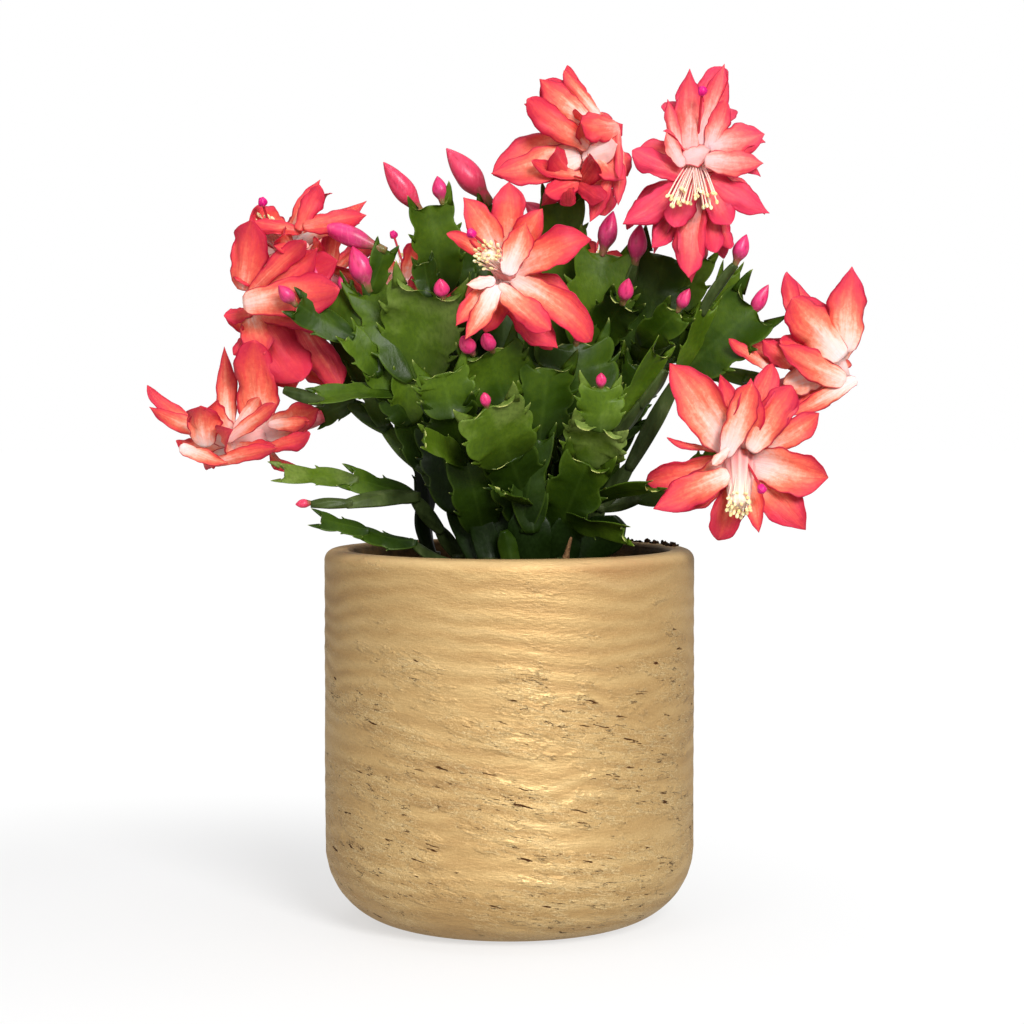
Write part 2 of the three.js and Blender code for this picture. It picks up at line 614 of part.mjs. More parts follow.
// A bloom on the far side: two whorls by rule round its axis
function backBloom(foot, throat, order) {
  const axis = vec(throat).sub(vec(foot)).normalize();
  const hint = Math.abs(axis.z) > NEARLY_PARALLEL ? SIDEWAYS : UP;
  const first = new THREE.Vector3().crossVectors(axis, hint).normalize();
  const whorl = (count, centre, radius, back, width, kind) => Array.from({ length: count }, (_, k) => {
    const angle = (360 * k) / count + 25 * chance(order * 5 + k) + (kind === OUTER ? 30 : 0);
    const spoke = first.clone().applyAxisAngle(axis, rad(angle));
    const tip = centre.clone().addScaledVector(spoke, radius * (0.88 + 0.24 * chance(order * 9 + k)))
      .addScaledVector(axis, -back);
    const spread = width * (0.85 + 0.3 * chance(order * 13 + k));
    return petal(tip.toArray(), spread, kind, kind === OUTER ? 0.12 : 0.2);
  });
  const outerCentre = vec(foot).lerp(vec(throat), 0.45);
  const out = vec(throat).addScaledVector(axis, 20);
  return {
    foot,
    throat,
    ring: 0.45,
    pistil: [out.clone().addScaledVector(UP, -6).toArray(), out.clone().addScaledVector(UP, 5).toArray()],
    petals: [...whorl(7, vec(throat), 29, 3, 12, INNER), ...whorl(5, outerCentre, 24, 2, 10, OUTER)],
  };
}

function tipOfBackStem(order, side, branch) {
  return BACK_STEMS[`stem_back_${order}`].grows.kids[0].kids[side].kids[branch].to;
}

function placedBackBloom(order, side, branch, push) {
  const foot = tipOfBackStem(order, side, branch);
  const throat = foot.map((value, i) => value + push[i]);
  return backBloom(foot, throat, order);
}

BLOOMS.bloom_back_1 = placedBackBloom(2, 0, 1, [8, 18, 22]);
BLOOMS.bloom_back_2 = placedBackBloom(3, 1, 0, [-8, 18, 22]);
BLOOMS.bloom_back_3 = placedBackBloom(4, 1, 1, [-22, 18, 14]);

const TUBE_SHAPE = [[0, 2.6], [0.14, 3.1], [0.34, 2.5], [1, MOUTH_RADIUS]];
const INNER_RING = 0.93;
const INNER_RING_RADIUS = 2.76;
const OUTER_RING_RADIUS = 1.8;

function bloomSolid(bloom, margin = 0) {
  const foot = vec(bloom.foot);
  const throat = vec(bloom.throat);
  const axis = throat.clone().sub(foot).normalize();
  const place = (part) => foot.clone().lerp(throat, part);
  const radii = TUBE_SHAPE.map(([, radius]) => radius + margin);
  const tube = loft(TUBE_SHAPE.map(([part]) => place(part)), radii, TUBE_SIDES);
  const blades = bloom.petals.map((blade) => {
    const { tip, whorl } = blade;
    const centre = whorl === INNER ? place(INNER_RING) : place(bloom.ring);
    const ringRadius = whorl === INNER ? INNER_RING_RADIUS : OUTER_RING_RADIUS;
    const end = vec(tip);
    const radial = end.clone().sub(centre);
    radial.addScaledVector(axis, -radial.dot(axis)).normalize();
    return petalSolid(centre.clone().addScaledVector(radial, ringRadius), end, axis, radial, blade, margin);
  });
  return join([tube, ...blades]);
}

// Stamens: filaments from one pad at the throat, each with an anther. The style ends in a stigma.
const FILAMENTS = 5;
const FILAMENT_RADIUS = 0.45;
const FILAMENT_SPREAD = 4.2;
const ANTHER_RADIUS = 0.9;
const ANTHER_REACH = 1.2;
const PAD_RADIUS = 2.6;
const PAD_HEIGHT = 1.4;
const STYLE_RADIUS = 0.55;
const STYLE_OFFSET = -2.6;
const STIGMA_RADIUS = 1.6;
const STIGMA_REACH = 1.4;
const ARCH = 2;

function throatFrame(bloom) {
  const throat = vec(bloom.throat);
  const axis = throat.clone().sub(vec(bloom.foot)).normalize();
  const target = vec(bloom.pistil[0]);
  const lean = target.clone().sub(throat);
  lean.addScaledVector(axis, -lean.dot(axis)).normalize();
  return { throat, axis, target, lean, third: new THREE.Vector3().crossVectors(axis, lean) };
}

// A thread from its root to its end, arched along the axis, with a knob of the given radii on its end.
function thread(root, end, axis, radius, [knob, tip], reach, sides) {
  const middle = root.clone().lerp(end, 0.5).addScaledVector(axis, ARCH);
  const near = middle.clone().lerp(end, 0.83);
  const beyond = end.clone().addScaledVector(end.clone().sub(near).normalize(), reach);
  return loft([root, near, end, beyond], [radius, radius, knob, tip], sides);
}

function stamenSolid(bloom) {
  const { throat, axis, target, lean, third } = throatFrame(bloom);
  const seat = throat.clone().addScaledVector(axis, GAP).addScaledVector(lean, 1.2);
  const pad = loft([seat, seat.clone().addScaledVector(axis, PAD_HEIGHT)], [PAD_RADIUS, PAD_RADIUS - 0.4], 6);
  const filaments = Array.from({ length: FILAMENTS }, (_, k) => {
    const angle = (2 * Math.PI * k) / FILAMENTS;
    const spoke = lean.clone().multiplyScalar(Math.cos(angle)).addScaledVector(third, Math.sin(angle));
    const root = seat.clone().addScaledVector(axis, PAD_HEIGHT / 2).addScaledVector(spoke, PAD_RADIUS / 2);
    const end = target.clone().addScaledVector(spoke, FILAMENT_SPREAD).addScaledVector(axis, 3 * chance(k + 3));
    return thread(root, end, axis, FILAMENT_RADIUS, [ANTHER_RADIUS, 0.3], ANTHER_REACH, 3);
  });
  return join([pad, ...filaments]);
}

function styleSolid(bloom, margin = 0) {
  const { throat, axis, lean } = throatFrame(bloom);
  const root = throat.clone().addScaledVector(axis, GAP).addScaledVector(lean, STYLE_OFFSET);
  const knob = [STIGMA_RADIUS + margin, STIGMA_RADIUS / 2 + margin];
  return thread(root, vec(bloom.pistil[1]), axis, STYLE_RADIUS + margin, knob, STIGMA_REACH, 5);
}

// Buds: pointed, swollen in the middle, with a short neck. Each is its base, tip and width.
const BUD_SHAPE = [[-0.06, 0.34], [0.24, 0.42], [0.5, 1.0], [0.8, 0.76], [1, 0.12]];
const SMALL_BUD_SHAPE = [[-0.2, 0.3], [0.5, 1.0], [1, 0.16]];

const BUD_SIDES = 6;
const SMALL_BUD_SIDES = 5;

function budSolid([base, tip, width], shape, sides) {
  return loft(
    shape.map(([part]) => vec(base).lerp(vec(tip), part)),
    shape.map(([, radius]) => (radius * width) / 2),
    sides,
  );
}

const BUDS = {
  bud_top_left_outer: [[-33, -6.5, 267], [-47, -8, 286], 8.5],
  bud_top_left_small: [[-25, -6, 271], [-27, -6, 281], 6],
  bud_top_left_inner: [[-8, 14, 273], [-24, 12, 293], 10.5],
  bud_left_long: [[-47, -19.5, 253], [-73, -16, 264], 8],
  bud_left_front: [[-52, -18, 238], [-58, -20, 254], 9],
  bud_left_side: [[-65, -15, 237], [-75, -19, 247], 6.5],
  bud_left_end: [[-78, -32, 232], [-84, -35, 239], 5.5],
  bud_over_big_leaf: [[-24, -38, 234], [-25, -43, 241], 6],
  bud_under_bloom_left: [[-13, -44, 214], [-17, -53, 220], 6],
  bud_under_bloom_right: [[-6, -44, 215], [-9, -55, 221], 5.5],
  bud_middle_upper: [[35, -4, 252], [39, -5, 268], 7.5],
  bud_middle_behind: [[17, 5, 262], [6, 3, 272], 8],
  bud_middle_right: [[47, -6, 248], [49, -9, 263], 7.5],
  bud_middle_front: [[24.5, -22, 217.5], [28, -29, 229], 5.5],
  bud_right_tip: [[83, -25, 247], [87, -27, 258], 6],
  bud_middle_low: [[42, -18, 233], [44, -24, 242], 6],
  bud_right_low: [[62, -25, 230], [66, -29, 238], 5],
  bud_right_leaf: [[92, -17, 231], [96, -18, 240], 5.5],
};

// Small buds that stay with the stem they grow on
const SMALL_BUDS = {
  stem_left: [[[-62, -15, 237], [-62, -16, 244], 4]],
  stem_centre: [[[-8, -52, 195], [-9, -55, 200], 4]],
  stem_front_right: [[[33, -46, 202], [33, -49, 207], 4]],
  stem_low_left: [[[-73, -29, 160], [-80, -30, 159], 4.5]],
};

// Assembly: blooms and buds stand a small gap clear of the foliage, and stamens and styles of the petals.
const PETAL_CLEARANCE = 0.25;
const group = new THREE.Group();
const addPart = (name, solid, kind) => group.add(meshFromSolid(name, solid, kind));

addPart('pot', makePot(), 'pot');
addPart('soil', makeSoil(Object.values(STEMS).map((stem) => pegSolid(stem.foot, GAP))), 'soil');

const clearances = {};
Object.entries(STEMS).forEach(([name, stem]) => {
  const buds = (SMALL_BUDS[name] ?? []).map((bud) => budSolid(bud, SMALL_BUD_SHAPE, SMALL_BUD_SIDES));
  addPart(name, join([stemSolid(name, stem), ...buds]), 'leaf');
  clearances[name] = stemSolid(name, stem, GAP);
});
const foliage = join(Object.values(clearances));

Object.entries(BLOOMS).forEach(([name, bloom]) => {
  addPart(name, largestPiece(bloomSolid(bloom).subtract(foliage)), 'petal');
  if (!bloom.pistil) return;
  const petals = bloomSolid(bloom, PETAL_CLEARANCE);
  const stamens = stamenSolid(bloom).subtract(petals).subtract(styleSolid(bloom, GAP));
  addPart(`${name}_style`, largestPiece(styleSolid(bloom).subtract(petals)), 'style');
  addPart(`${name}_stamens`, largestPiece(stamens), 'stamen');
});

Object.entries(BUDS).forEach(([name, bud]) => {
  addPart(name, largestPiece(budSolid(bud, BUD_SHAPE, BUD_SIDES).subtract(foliage)), 'bud');
});

export default group;
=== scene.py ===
"""Potted christmas cactus: the finished look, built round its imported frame.

Metres, +Z up, -Y towards the viewer. The plan and the shapes are in millimetres.
"""
import math

import bpy
import numpy as np
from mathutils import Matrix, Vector, noise


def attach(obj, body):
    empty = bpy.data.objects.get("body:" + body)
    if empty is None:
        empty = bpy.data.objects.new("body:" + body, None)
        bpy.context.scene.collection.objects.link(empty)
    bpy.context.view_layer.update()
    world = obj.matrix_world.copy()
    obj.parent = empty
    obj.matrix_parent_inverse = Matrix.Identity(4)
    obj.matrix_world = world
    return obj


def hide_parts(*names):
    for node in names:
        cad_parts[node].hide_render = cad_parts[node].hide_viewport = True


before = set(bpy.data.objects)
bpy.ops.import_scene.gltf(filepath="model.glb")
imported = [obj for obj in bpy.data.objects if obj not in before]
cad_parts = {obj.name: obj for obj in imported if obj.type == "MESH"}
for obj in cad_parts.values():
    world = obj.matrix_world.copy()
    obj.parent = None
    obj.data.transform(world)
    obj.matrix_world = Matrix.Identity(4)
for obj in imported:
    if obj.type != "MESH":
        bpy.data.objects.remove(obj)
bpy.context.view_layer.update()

MM = 0.001


# Camera
CAMERA_PLACE = (1.0, -960.0, 201.7)
CAMERA_PITCH = 2.8
CAMERA_LENS = 89.1
CAMERA_SENSOR = 36.0
CLIP_NEAR, CLIP_FAR = 0.05, 30.0


def make_camera():
    data = bpy.data.cameras.new("camera")
    data.lens = CAMERA_LENS
    data.sensor_width = CAMERA_SENSOR
    data.clip_start = CLIP_NEAR
    data.clip_end = CLIP_FAR
    camera = bpy.data.objects.new("camera", data)
    camera.location = [c * MM for c in CAMERA_PLACE]
    camera.rotation_euler = (math.radians(90 - CAMERA_PITCH), 0, 0)
    bpy.context.collection.objects.link(camera)
    bpy.context.scene.camera = camera


make_camera()


# Small sums
UP = np.array([0.0, 0.0, 1.0])
SIDEWAYS = np.array([1.0, 0.0, 0.0])
NEARLY_PARALLEL = 0.9
FULL_TURN = 2 * math.pi


def vec(p):
    return np.array(p, float)


def unit(a):
    return a / np.linalg.norm(a)


def units(rows):
    return rows / np.linalg.norm(rows, axis=1)[:, None]


def square_to(a, axis):
    """The part of a that stands square to the axis, one unit long."""
    return unit(a - axis * np.dot(axis, a))


def chance(seed):
    """A number from 0 to 1 that depends on the seed alone."""
    x = math.sin(seed * 12.9898) * 43758.5453
    return x - math.floor(x)


def turned_about(a, axis, degrees):
    c, s = math.cos(math.radians(degrees)), math.sin(math.radians(degrees))
    return a * c + np.cross(axis, a) * s + axis * np.dot(axis, a) * (1 - c)


def turn_of(sides):
    """Angles once round."""
    return np.linspace(0, FULL_TURN, sides, endpoint=False)


def curve_through(keys, t):
    """A smooth curve through (place, value) keys."""
    xs, ys = (np.array(column, float) for column in zip(*keys))
    slopes = np.gradient(ys, xs)
    i = np.clip(np.searchsorted(xs, t) - 1, 0, len(xs) - 2)
    h = xs[i + 1] - xs[i]
    s = (t - xs[i]) / h
    return ((1 + 2 * s) * (1 - s) ** 2 * ys[i] + s * (1 - s) ** 2 * h * slopes[i]
            + s * s * (3 - 2 * s) * ys[i + 1] + s * s * (s - 1) * h * slopes[i + 1])


def bezier(a, b, c, t):
    t = np.asarray(t)[:, None]
    return a * (1 - t) ** 2 + b * 2 * t * (1 - t) + c * t * t


def bezier_slope(a, b, c, t):
    t = np.asarray(t)[:, None]
    return units((b - a) * 2 * (1 - t) + (c - b) * 2 * t)


def arched(start, end, arch, steps):
    """A line from start to end whose middle is pulled along the arch."""
    return bezier(start, (start + end) / 2 + arch, end, np.linspace(0, 1, steps))


# Meshes: closed tubes of rings, gathered into one object
def round_both_faces(front, back):
    """Columns of a blade's front and then its back, so that a row runs once round it."""
    return np.concatenate([front, back[:, -2:0:-1]], 1)


class Build:
    """Gathers closed surfaces. Each point carries four numbers for its material, and a tone."""

    def __init__(self, name):
        self.name = name
        self.points, self.form, self.tone, self.faces = [], [], [], []
        self.count = 0

    def tube(self, rings, form=(0, 0, 0, 0), tone=0.5):
        rows, sides = rings.shape[:2]
        index = np.arange(rows * sides).reshape(rows, sides)
        low, high = index[:-1], index[1:]
        quads = np.stack([low, np.roll(low, -1, 1), np.roll(high, -1, 1), high], -1).reshape(-1, 4)
        flat = rings.reshape(-1, 3)
        a, b, c, d = (flat[quads[:, k]] for k in range(4))
        volume = np.einsum("ij,ij->i", a, np.cross(b, c) + np.cross(c, d)).sum()
        faces = quads.tolist() + [index[0][::-1].tolist(), index[-1].tolist()]
        way = -1 if volume < 0 else 1
        self.faces += [[self.count + corner for corner in face[::way]] for face in faces]
        self.points.append(flat)
        form = [np.broadcast_to(np.array(part, float), (rows, sides)) for part in form]
        self.form.append(np.stack(form, -1).reshape(-1, 4))
        self.tone.append(np.full(rows * sides, float(tone)))
        self.count += rows * sides

    def blade(self, place, z, half, normal, form, tone):
        """A thin closed blade whose middle lies z off the places, half of its thickness to each side."""
        front, back = (place + (z + side * half)[..., None] * normal for side in (1, -1))
        form = [np.broadcast_to(np.array(part, float), z.shape) for part in form]
        self.tube(round_both_faces(front, back), [round_both_faces(part, part) for part in form], tone)

    def finish(self, material, replaces=()):
        mesh = bpy.data.meshes.new(self.name)
        points = np.concatenate(self.points) * MM
        mesh.from_pydata(points.tolist(), [], self.faces)
        form = mesh.attributes.new("form", "FLOAT_COLOR", "POINT")
        form.data.foreach_set("color", np.concatenate(self.form).ravel())
        tone = mesh.attributes.new("tone", "FLOAT", "POINT")
        tone.data.foreach_set("value", np.concatenate(self.tone))
        mesh.shade_smooth()
        mesh.materials.append(material)
        piece = bpy.data.objects.new(self.name, mesh)
        bpy.context.collection.objects.link(piece)
        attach(piece, "root")
        if replaces:
            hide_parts(*replaces)


def thread_rings(centres, radii, sides, squash=1.0, axis=None):
    """Rings round a line of centres, square to it or to one axis. A radius may be a row of them."""
    centres = np.array(centres, float)
    along = units(np.gradient(centres, axis=0)) if axis is None else np.tile(axis, (len(centres), 1))
    across = SIDEWAYS if abs(along[0][0]) < NEARLY_PARALLEL else UP
    angles = turn_of(sides)
    rings = []
    for centre, way, reach in zip(centres, along, radii):
        across = square_to(across, way)
        rings.append(centre + np.outer(np.cos(angles) * reach, across)
                     + np.outer(np.sin(angles) * reach * squash, np.cross(way, across)))
    return np.array(rings)


# Shader building
def linear(r, g, b):
    """The shader's colour for the usual 0 to 255 values."""
    parts = [((c / 255 + 0.055) / 1.055) ** 2.4 if c > 10 else c / 255 / 12.92 for c in (r, g, b)]
    return (*parts, 1.0)


class Value:
    """A number or colour that a material works out, so that sums with it read as sums."""

    def __init__(self, shader, socket):
        self.shader, self.socket = shader, socket

    def __add__(self, other):
        return self.shader.sum("ADD", self, other)

    def __sub__(self, other):
        return self.shader.sum("SUBTRACT", self, other)

    def __rsub__(self, other):
        return self.shader.sum("SUBTRACT", other, self)

    def __mul__(self, other):
        return self.shader.sum("MULTIPLY", self, other)

    def __pow__(self, other):
        return self.shader.sum("POWER", self, other)

    def __abs__(self):
        return self.shader.sum("ABSOLUTE", self)


class Shader:
    """A material. Colours are given by their usual 0 to 255 values."""

    def __init__(self, name, **values):
        self.material = bpy.data.materials.new(name)
        self.material.use_nodes = True
        self.tree = self.material.node_tree
        self.surface = self.tree.nodes["Principled BSDF"]
        for label, value in values.items():
            self.surface.inputs[label.replace("_", " ")].default_value = value

    def add(self, kind, inputs, output, **settings):
        """A node with its inputs set, as the value of one of its outputs."""
        made = self.tree.nodes.new(kind)
        for key, value in settings.items():
            setattr(made, key, value)
        for key, value in inputs.items():
            self.feed(made.inputs[key], value)
        return Value(self, made.outputs[output])

    def feed(self, socket, value):
        if isinstance(value, Value):
            self.tree.links.new(value.socket, socket)
        elif socket.type == "RGBA" and len(value) == 3:
            socket.default_value = linear(*value)
        else:
            socket.default_value = value

    def set(self, label, value):
        self.feed(self.surface.inputs[label], value)

    def sum(self, operation, a, b=0.0):
        return self.add("ShaderNodeMath", {0: a, 1: b}, 0, operation=operation)

    def span(self, value, low, high, to_low=0.0, to_high=1.0):
        """Maps a range smoothly onto another."""
        return self.add("ShaderNodeMapRange", {0: value, 1: low, 2: high, 3: to_low, 4: to_high}, 0,
                        interpolation_type="SMOOTHSTEP")

    def mix(self, factor, a, b):
        return self.add("ShaderNodeMix", {0: factor, 6: a, 7: b}, 2, data_type="RGBA")

    def layers(self, colour, *layers):
        """Lays further colours over the first, each by its factor."""
        for factor, over in layers:
            colour = self.mix(factor, colour, over)
        return colour

    def ramp(self, value, stops):
        made = self.add("ShaderNodeValToRGB", {0: value}, 0)
        points = made.socket.node.color_ramp.elements
        while len(points) < len(stops):
            points.new(1.0)
        for point, (place, colour) in zip(points, stops.items()):
            point.position = place
            point.color = linear(*colour)
        return made

    def place(self, scale=(1, 1, 1)):
        """Position on the object in metres, stretched."""
        here = self.add("ShaderNodeTexCoord", {}, "Object")
        return self.add("ShaderNodeMapping", {"Vector": here, "Scale": scale}, 0)

    def part(self, vector, axis):
        return self.add("ShaderNodeSeparateXYZ", {0: vector}, axis)

    def join(self, x, y, z):
        return self.add("ShaderNodeCombineXYZ", {0: x, 1: y, 2: z}, 0)

    def slanted(self, slope, squeeze):
        """Position on the object, squeezed upwards and slanting down to the right."""
        here = self.place()
        x, y, z = (self.part(here, axis) for axis in range(3))
        return self.join(x, y, (z + x * slope) * squeeze)

    def noise(self, scale, detail=3.0, roughness=0.55, vector=None, stretch=(1, 1, 1), distortion=0.0):
        inputs = {"Scale": scale, "Detail": detail, "Roughness": roughness, "Distortion": distortion,
                  "Vector": vector or self.place(stretch)}
        return self.add("ShaderNodeTexNoise", inputs, "Fac")

    def form(self):
        """The four numbers and the tone that the mesh carries."""
        colour = self.add("ShaderNodeAttribute", {}, "Color", attribute_name="form")
        parts = [self.add("ShaderNodeSeparateColor", {0: colour}, channel) for channel in range(3)]
        alpha = Value(self, colour.socket.node.outputs["Alpha"])
        return *parts, alpha, self.add("ShaderNodeAttribute", {}, "Fac", attribute_name="tone")

    def bump(self, height, strength, distance):
        inputs = {"Height": height, "Strength": strength, "Distance": distance}
        self.set("Normal", self.add("ShaderNodeBump", inputs, "Normal"))


# The plan: how each stem, bloom and bud stands
INNER = "inner"
OUTER = "outer"
OUTER_DEPTH = 1.15


def seg(tip, width, turn=0, kids=(), tone=None):
    """A stem segment, and those that grow from its tip. Without a tone it draws its own."""
    return tip, width, turn, kids, tone


def inner(tip, width, lift=0.2, turn=0, depth=1.0, whorl=INNER, to_front=False):
    """A petal of the long inner whorl. Its depth is that of its colour, 1 or more for the reddest; from
    1.5 up it adds a dark red that is painted shade.
    """
    return {"tip": tip, "width": width, "lift": lift, "turn": turn, "depth": depth, "whorl": whorl,
            "to_front": to_front}


def outer(tip, width, lift=0.1):
    """A petal of the short outer whorl."""
    return inner(tip, width, lift, 0, OUTER_DEPTH, OUTER)


def front(tip, width, lift=0.1, turn=0, depth=1.0):
    """A petal of the inner whorl that turns its face to the viewer."""
    return inner(tip, width, lift, turn, depth, INNER, True)


def front_outer(tip, width, lift=0.1, turn=0, depth=OUTER_DEPTH):
    return inner(tip, width, lift, turn, depth, OUTER, True)


def bloom(foot, throat, ring, pistil=None, petals=()):
    """A flower. Its outer whorl sits on the tube at the ring, a share of the way to the throat."""
    return {"foot": foot, "throat": throat, "ring": ring, "pistil": pistil, "petals": petals}


# A low tone darkens a segment's green; the low tones given to segments in the plant's shade, such as
# those over the rim, are painted shade.
FRONT_STEMS = {
  "stem_left": ([-12, -6], seg([-20, -8, 156], 7, 10, [
    seg([-32, -10, 172], 8, 10, [
      seg([-47, -6, 187], 8, 20, [
        seg([-60, 0, 196], 8, 20, [seg([-71, 3, 191], 9)]),
        seg([-55, 2, 203], 9, 10, [
          seg([-69, 7, 215], 13, -20),
          seg([-60, 7, 222], 10, 30, [seg([-64, 8, 239], 12, 30)]),
        ]),
      ]),
      seg([-38, -16, 190], 12, 15, [
        seg([-44, -20, 199], 12, 10, [
          seg([-70, -28, 197], 10, 35, [seg([-83, -26, 201], 5)]),
          seg([-49, -22, 208], 12, 10, [
            seg([-59, -27, 221], 11, 15, [seg([-77, -32, 232], 12, 10)]),
            seg([-64, -15, 237], 12, -15),
          ]),
        ]),
        seg([-37, -22, 206], 13, 0, [
          seg([-29, -36, 237], 29, -8, [seg([-31, -38, 247], 9.6, 20)], 0.7),
          seg([-52, -18, 237], 18, 25, [seg([-46, -19, 253], 10, 30)]),
        ]),
      ]),
    ]),
  ])),
  "stem_front_left": ([-7, -14], seg([-12, -15, 157], 13, 0, [
    seg([-16, -25, 175], 16, 0, [
      seg([-21, -44, 193], 20, -10, [seg([-24, -47, 207], 20, 0, (), 0.45)]),
      seg([-31, -50, 183], 10, 10, (), 0.7),
    ]),
  ])),
  "stem_upper_left": ([-4, 14], seg([-8, 12, 163], 11, 20, [
    seg([-14, 10, 189], 14, -10, [
      seg([-19, 6, 216], 15, 10, [
        seg([-25, 0, 239], 14, 0, [seg([-30, -6, 270], 18, 10, (), 0.4)]),
        seg([-20, 12, 238], 14, -25, [seg([-19, 15, 260], 15, -15)]),
        seg([-9, 14, 244], 13, 10, [seg([-7, 14, 272], 13, 20)]),
      ]),
    ]),
  ])),
  "stem_centre": ([8, -14], seg([7, -20, 159], 21, 0, [
    seg([0, -34, 176], 21, 0, [seg([-8, -52, 195], 25, 0, (), 0.72)], 0.35),
    seg([4, -22, 181], 14, 10, [seg([-2, -34, 197], 16, 0, [seg([-7, -42, 215], 24, 5, (), 0.4)])]),
    seg([11, -24, 183], 13, -10, [seg([14, -34, 209], 21, 10, (), 0.3)]),
    seg([-3, -40, 163], 9.6, 60, (), 0.8),
  ])),
  "stem_front_right": ([20, -10], seg([21, -16, 154], 17, 0, [
    seg([29, -32, 175], 20, 0, [
      seg([33, -43, 188], 22, 0, [seg([33, -46, 202], 16, 0, (), 0.62)], 0.85),
    ], 0.6),
    seg([27, -18, 174], 12, 0, [
      seg([26, -18, 191], 16, 0, [seg([24, -22, 218], 29, 5, (), 0.22)]),
      seg([38, -23, 183], 9, 20, [
        seg([54, -30, 214], 11, 40),
        seg([49, -30, 197], 7, 60, [seg([57, -35, 208], 6, 60)]),
      ]),
    ]),
    seg([51, -36, 165], 9.6, 70, (), 0.5),
    seg([42, -36, 150], 9.6, 60, (), 0.75),
  ])),
  "stem_right": ([26, 4], seg([35, 2, 157], 7, 0, [
    seg([46, -2, 173], 6.5, 0, [
      seg([63, -8, 205], 6.5, 0, [
        seg([68, -10, 210], 7, 0, [
          seg([91, -17, 231], 23, 0, (), 0.32),
          seg([90, -10, 205], 10, 60, [seg([99, -10, 201], 8, 60)]),
        ]),
        seg([72, -20, 231], 13, 50, [seg([83, -25, 247], 6, 60)]),
      ]),
    ]),
    seg([50, 5, 160], 7, 30, [seg([68, 7, 168], 12, 30, [seg([81, -2, 177], 11, 20)])]),
  ])),
  "stem_centre_right": ([12, 8], seg([18, 9, 166], 12, 0, [
    seg([25, 8, 191], 15, 0, [
      seg([30, 3, 216], 16, 0, [
        seg([36, -4, 252], 23, 0, (), 0.5),
        seg([42, -18, 233], 15, 10),
        seg([43, -2, 236], 9, 30, [seg([47, -6, 248], 7, 60)]),
      ]),
      seg([21, 10, 216], 13, 10, [seg([20, 9, 240], 14, 0, [seg([20, 3, 272], 17, 0, (), 0.55)])]),
    ]),
  ])),
  "stem_upper_right": ([24, 16], seg([33, 15, 164], 11, 0, [
    seg([43, 12, 188], 14, 0, [
      seg([49, 8, 212], 15, 0, [
        seg([59, 6, 252], 21, 5, (), 0.2),
        seg([51, -8, 219], 10, 0, [seg([62, -25, 230], 14, 20)]),
      ]),
      seg([58, 14, 214], 12, -10, [
        seg([66, 13, 232], 13, 0, [seg([73, 10, 252], 13, 10)]),
        seg([76, 14, 226], 12, 20, [seg([83, 9, 246], 12, 40)]),
      ]),
    ]),
  ])),
  "stem_low_left": ([-19, 4], seg([-27, -3, 149], 6, 0, [
    seg([-36, -13, 161], 6, 0, [
      seg([-58, -21, 168], 11, 25, [seg([-83, -26, 170], 9.6, 30, (), 0.8)], 0.35),
      seg([-60, -27, 159], 7, 20, [seg([-73, -29, 159], 4.5, 20)], 0.6),
    ]),
  ])),
  # Painted shade: the segments over the rim have low tones, for the shade they lie in.
  "stem_over_rim": ([-24, -24], seg([-36, -35, 145.5], 7, 50, [
    seg([-53, -42, 150], 10, 45, [seg([-68, -46, 154], 9.6, 40, (), 0.12)], 0.1),
  ])),
}


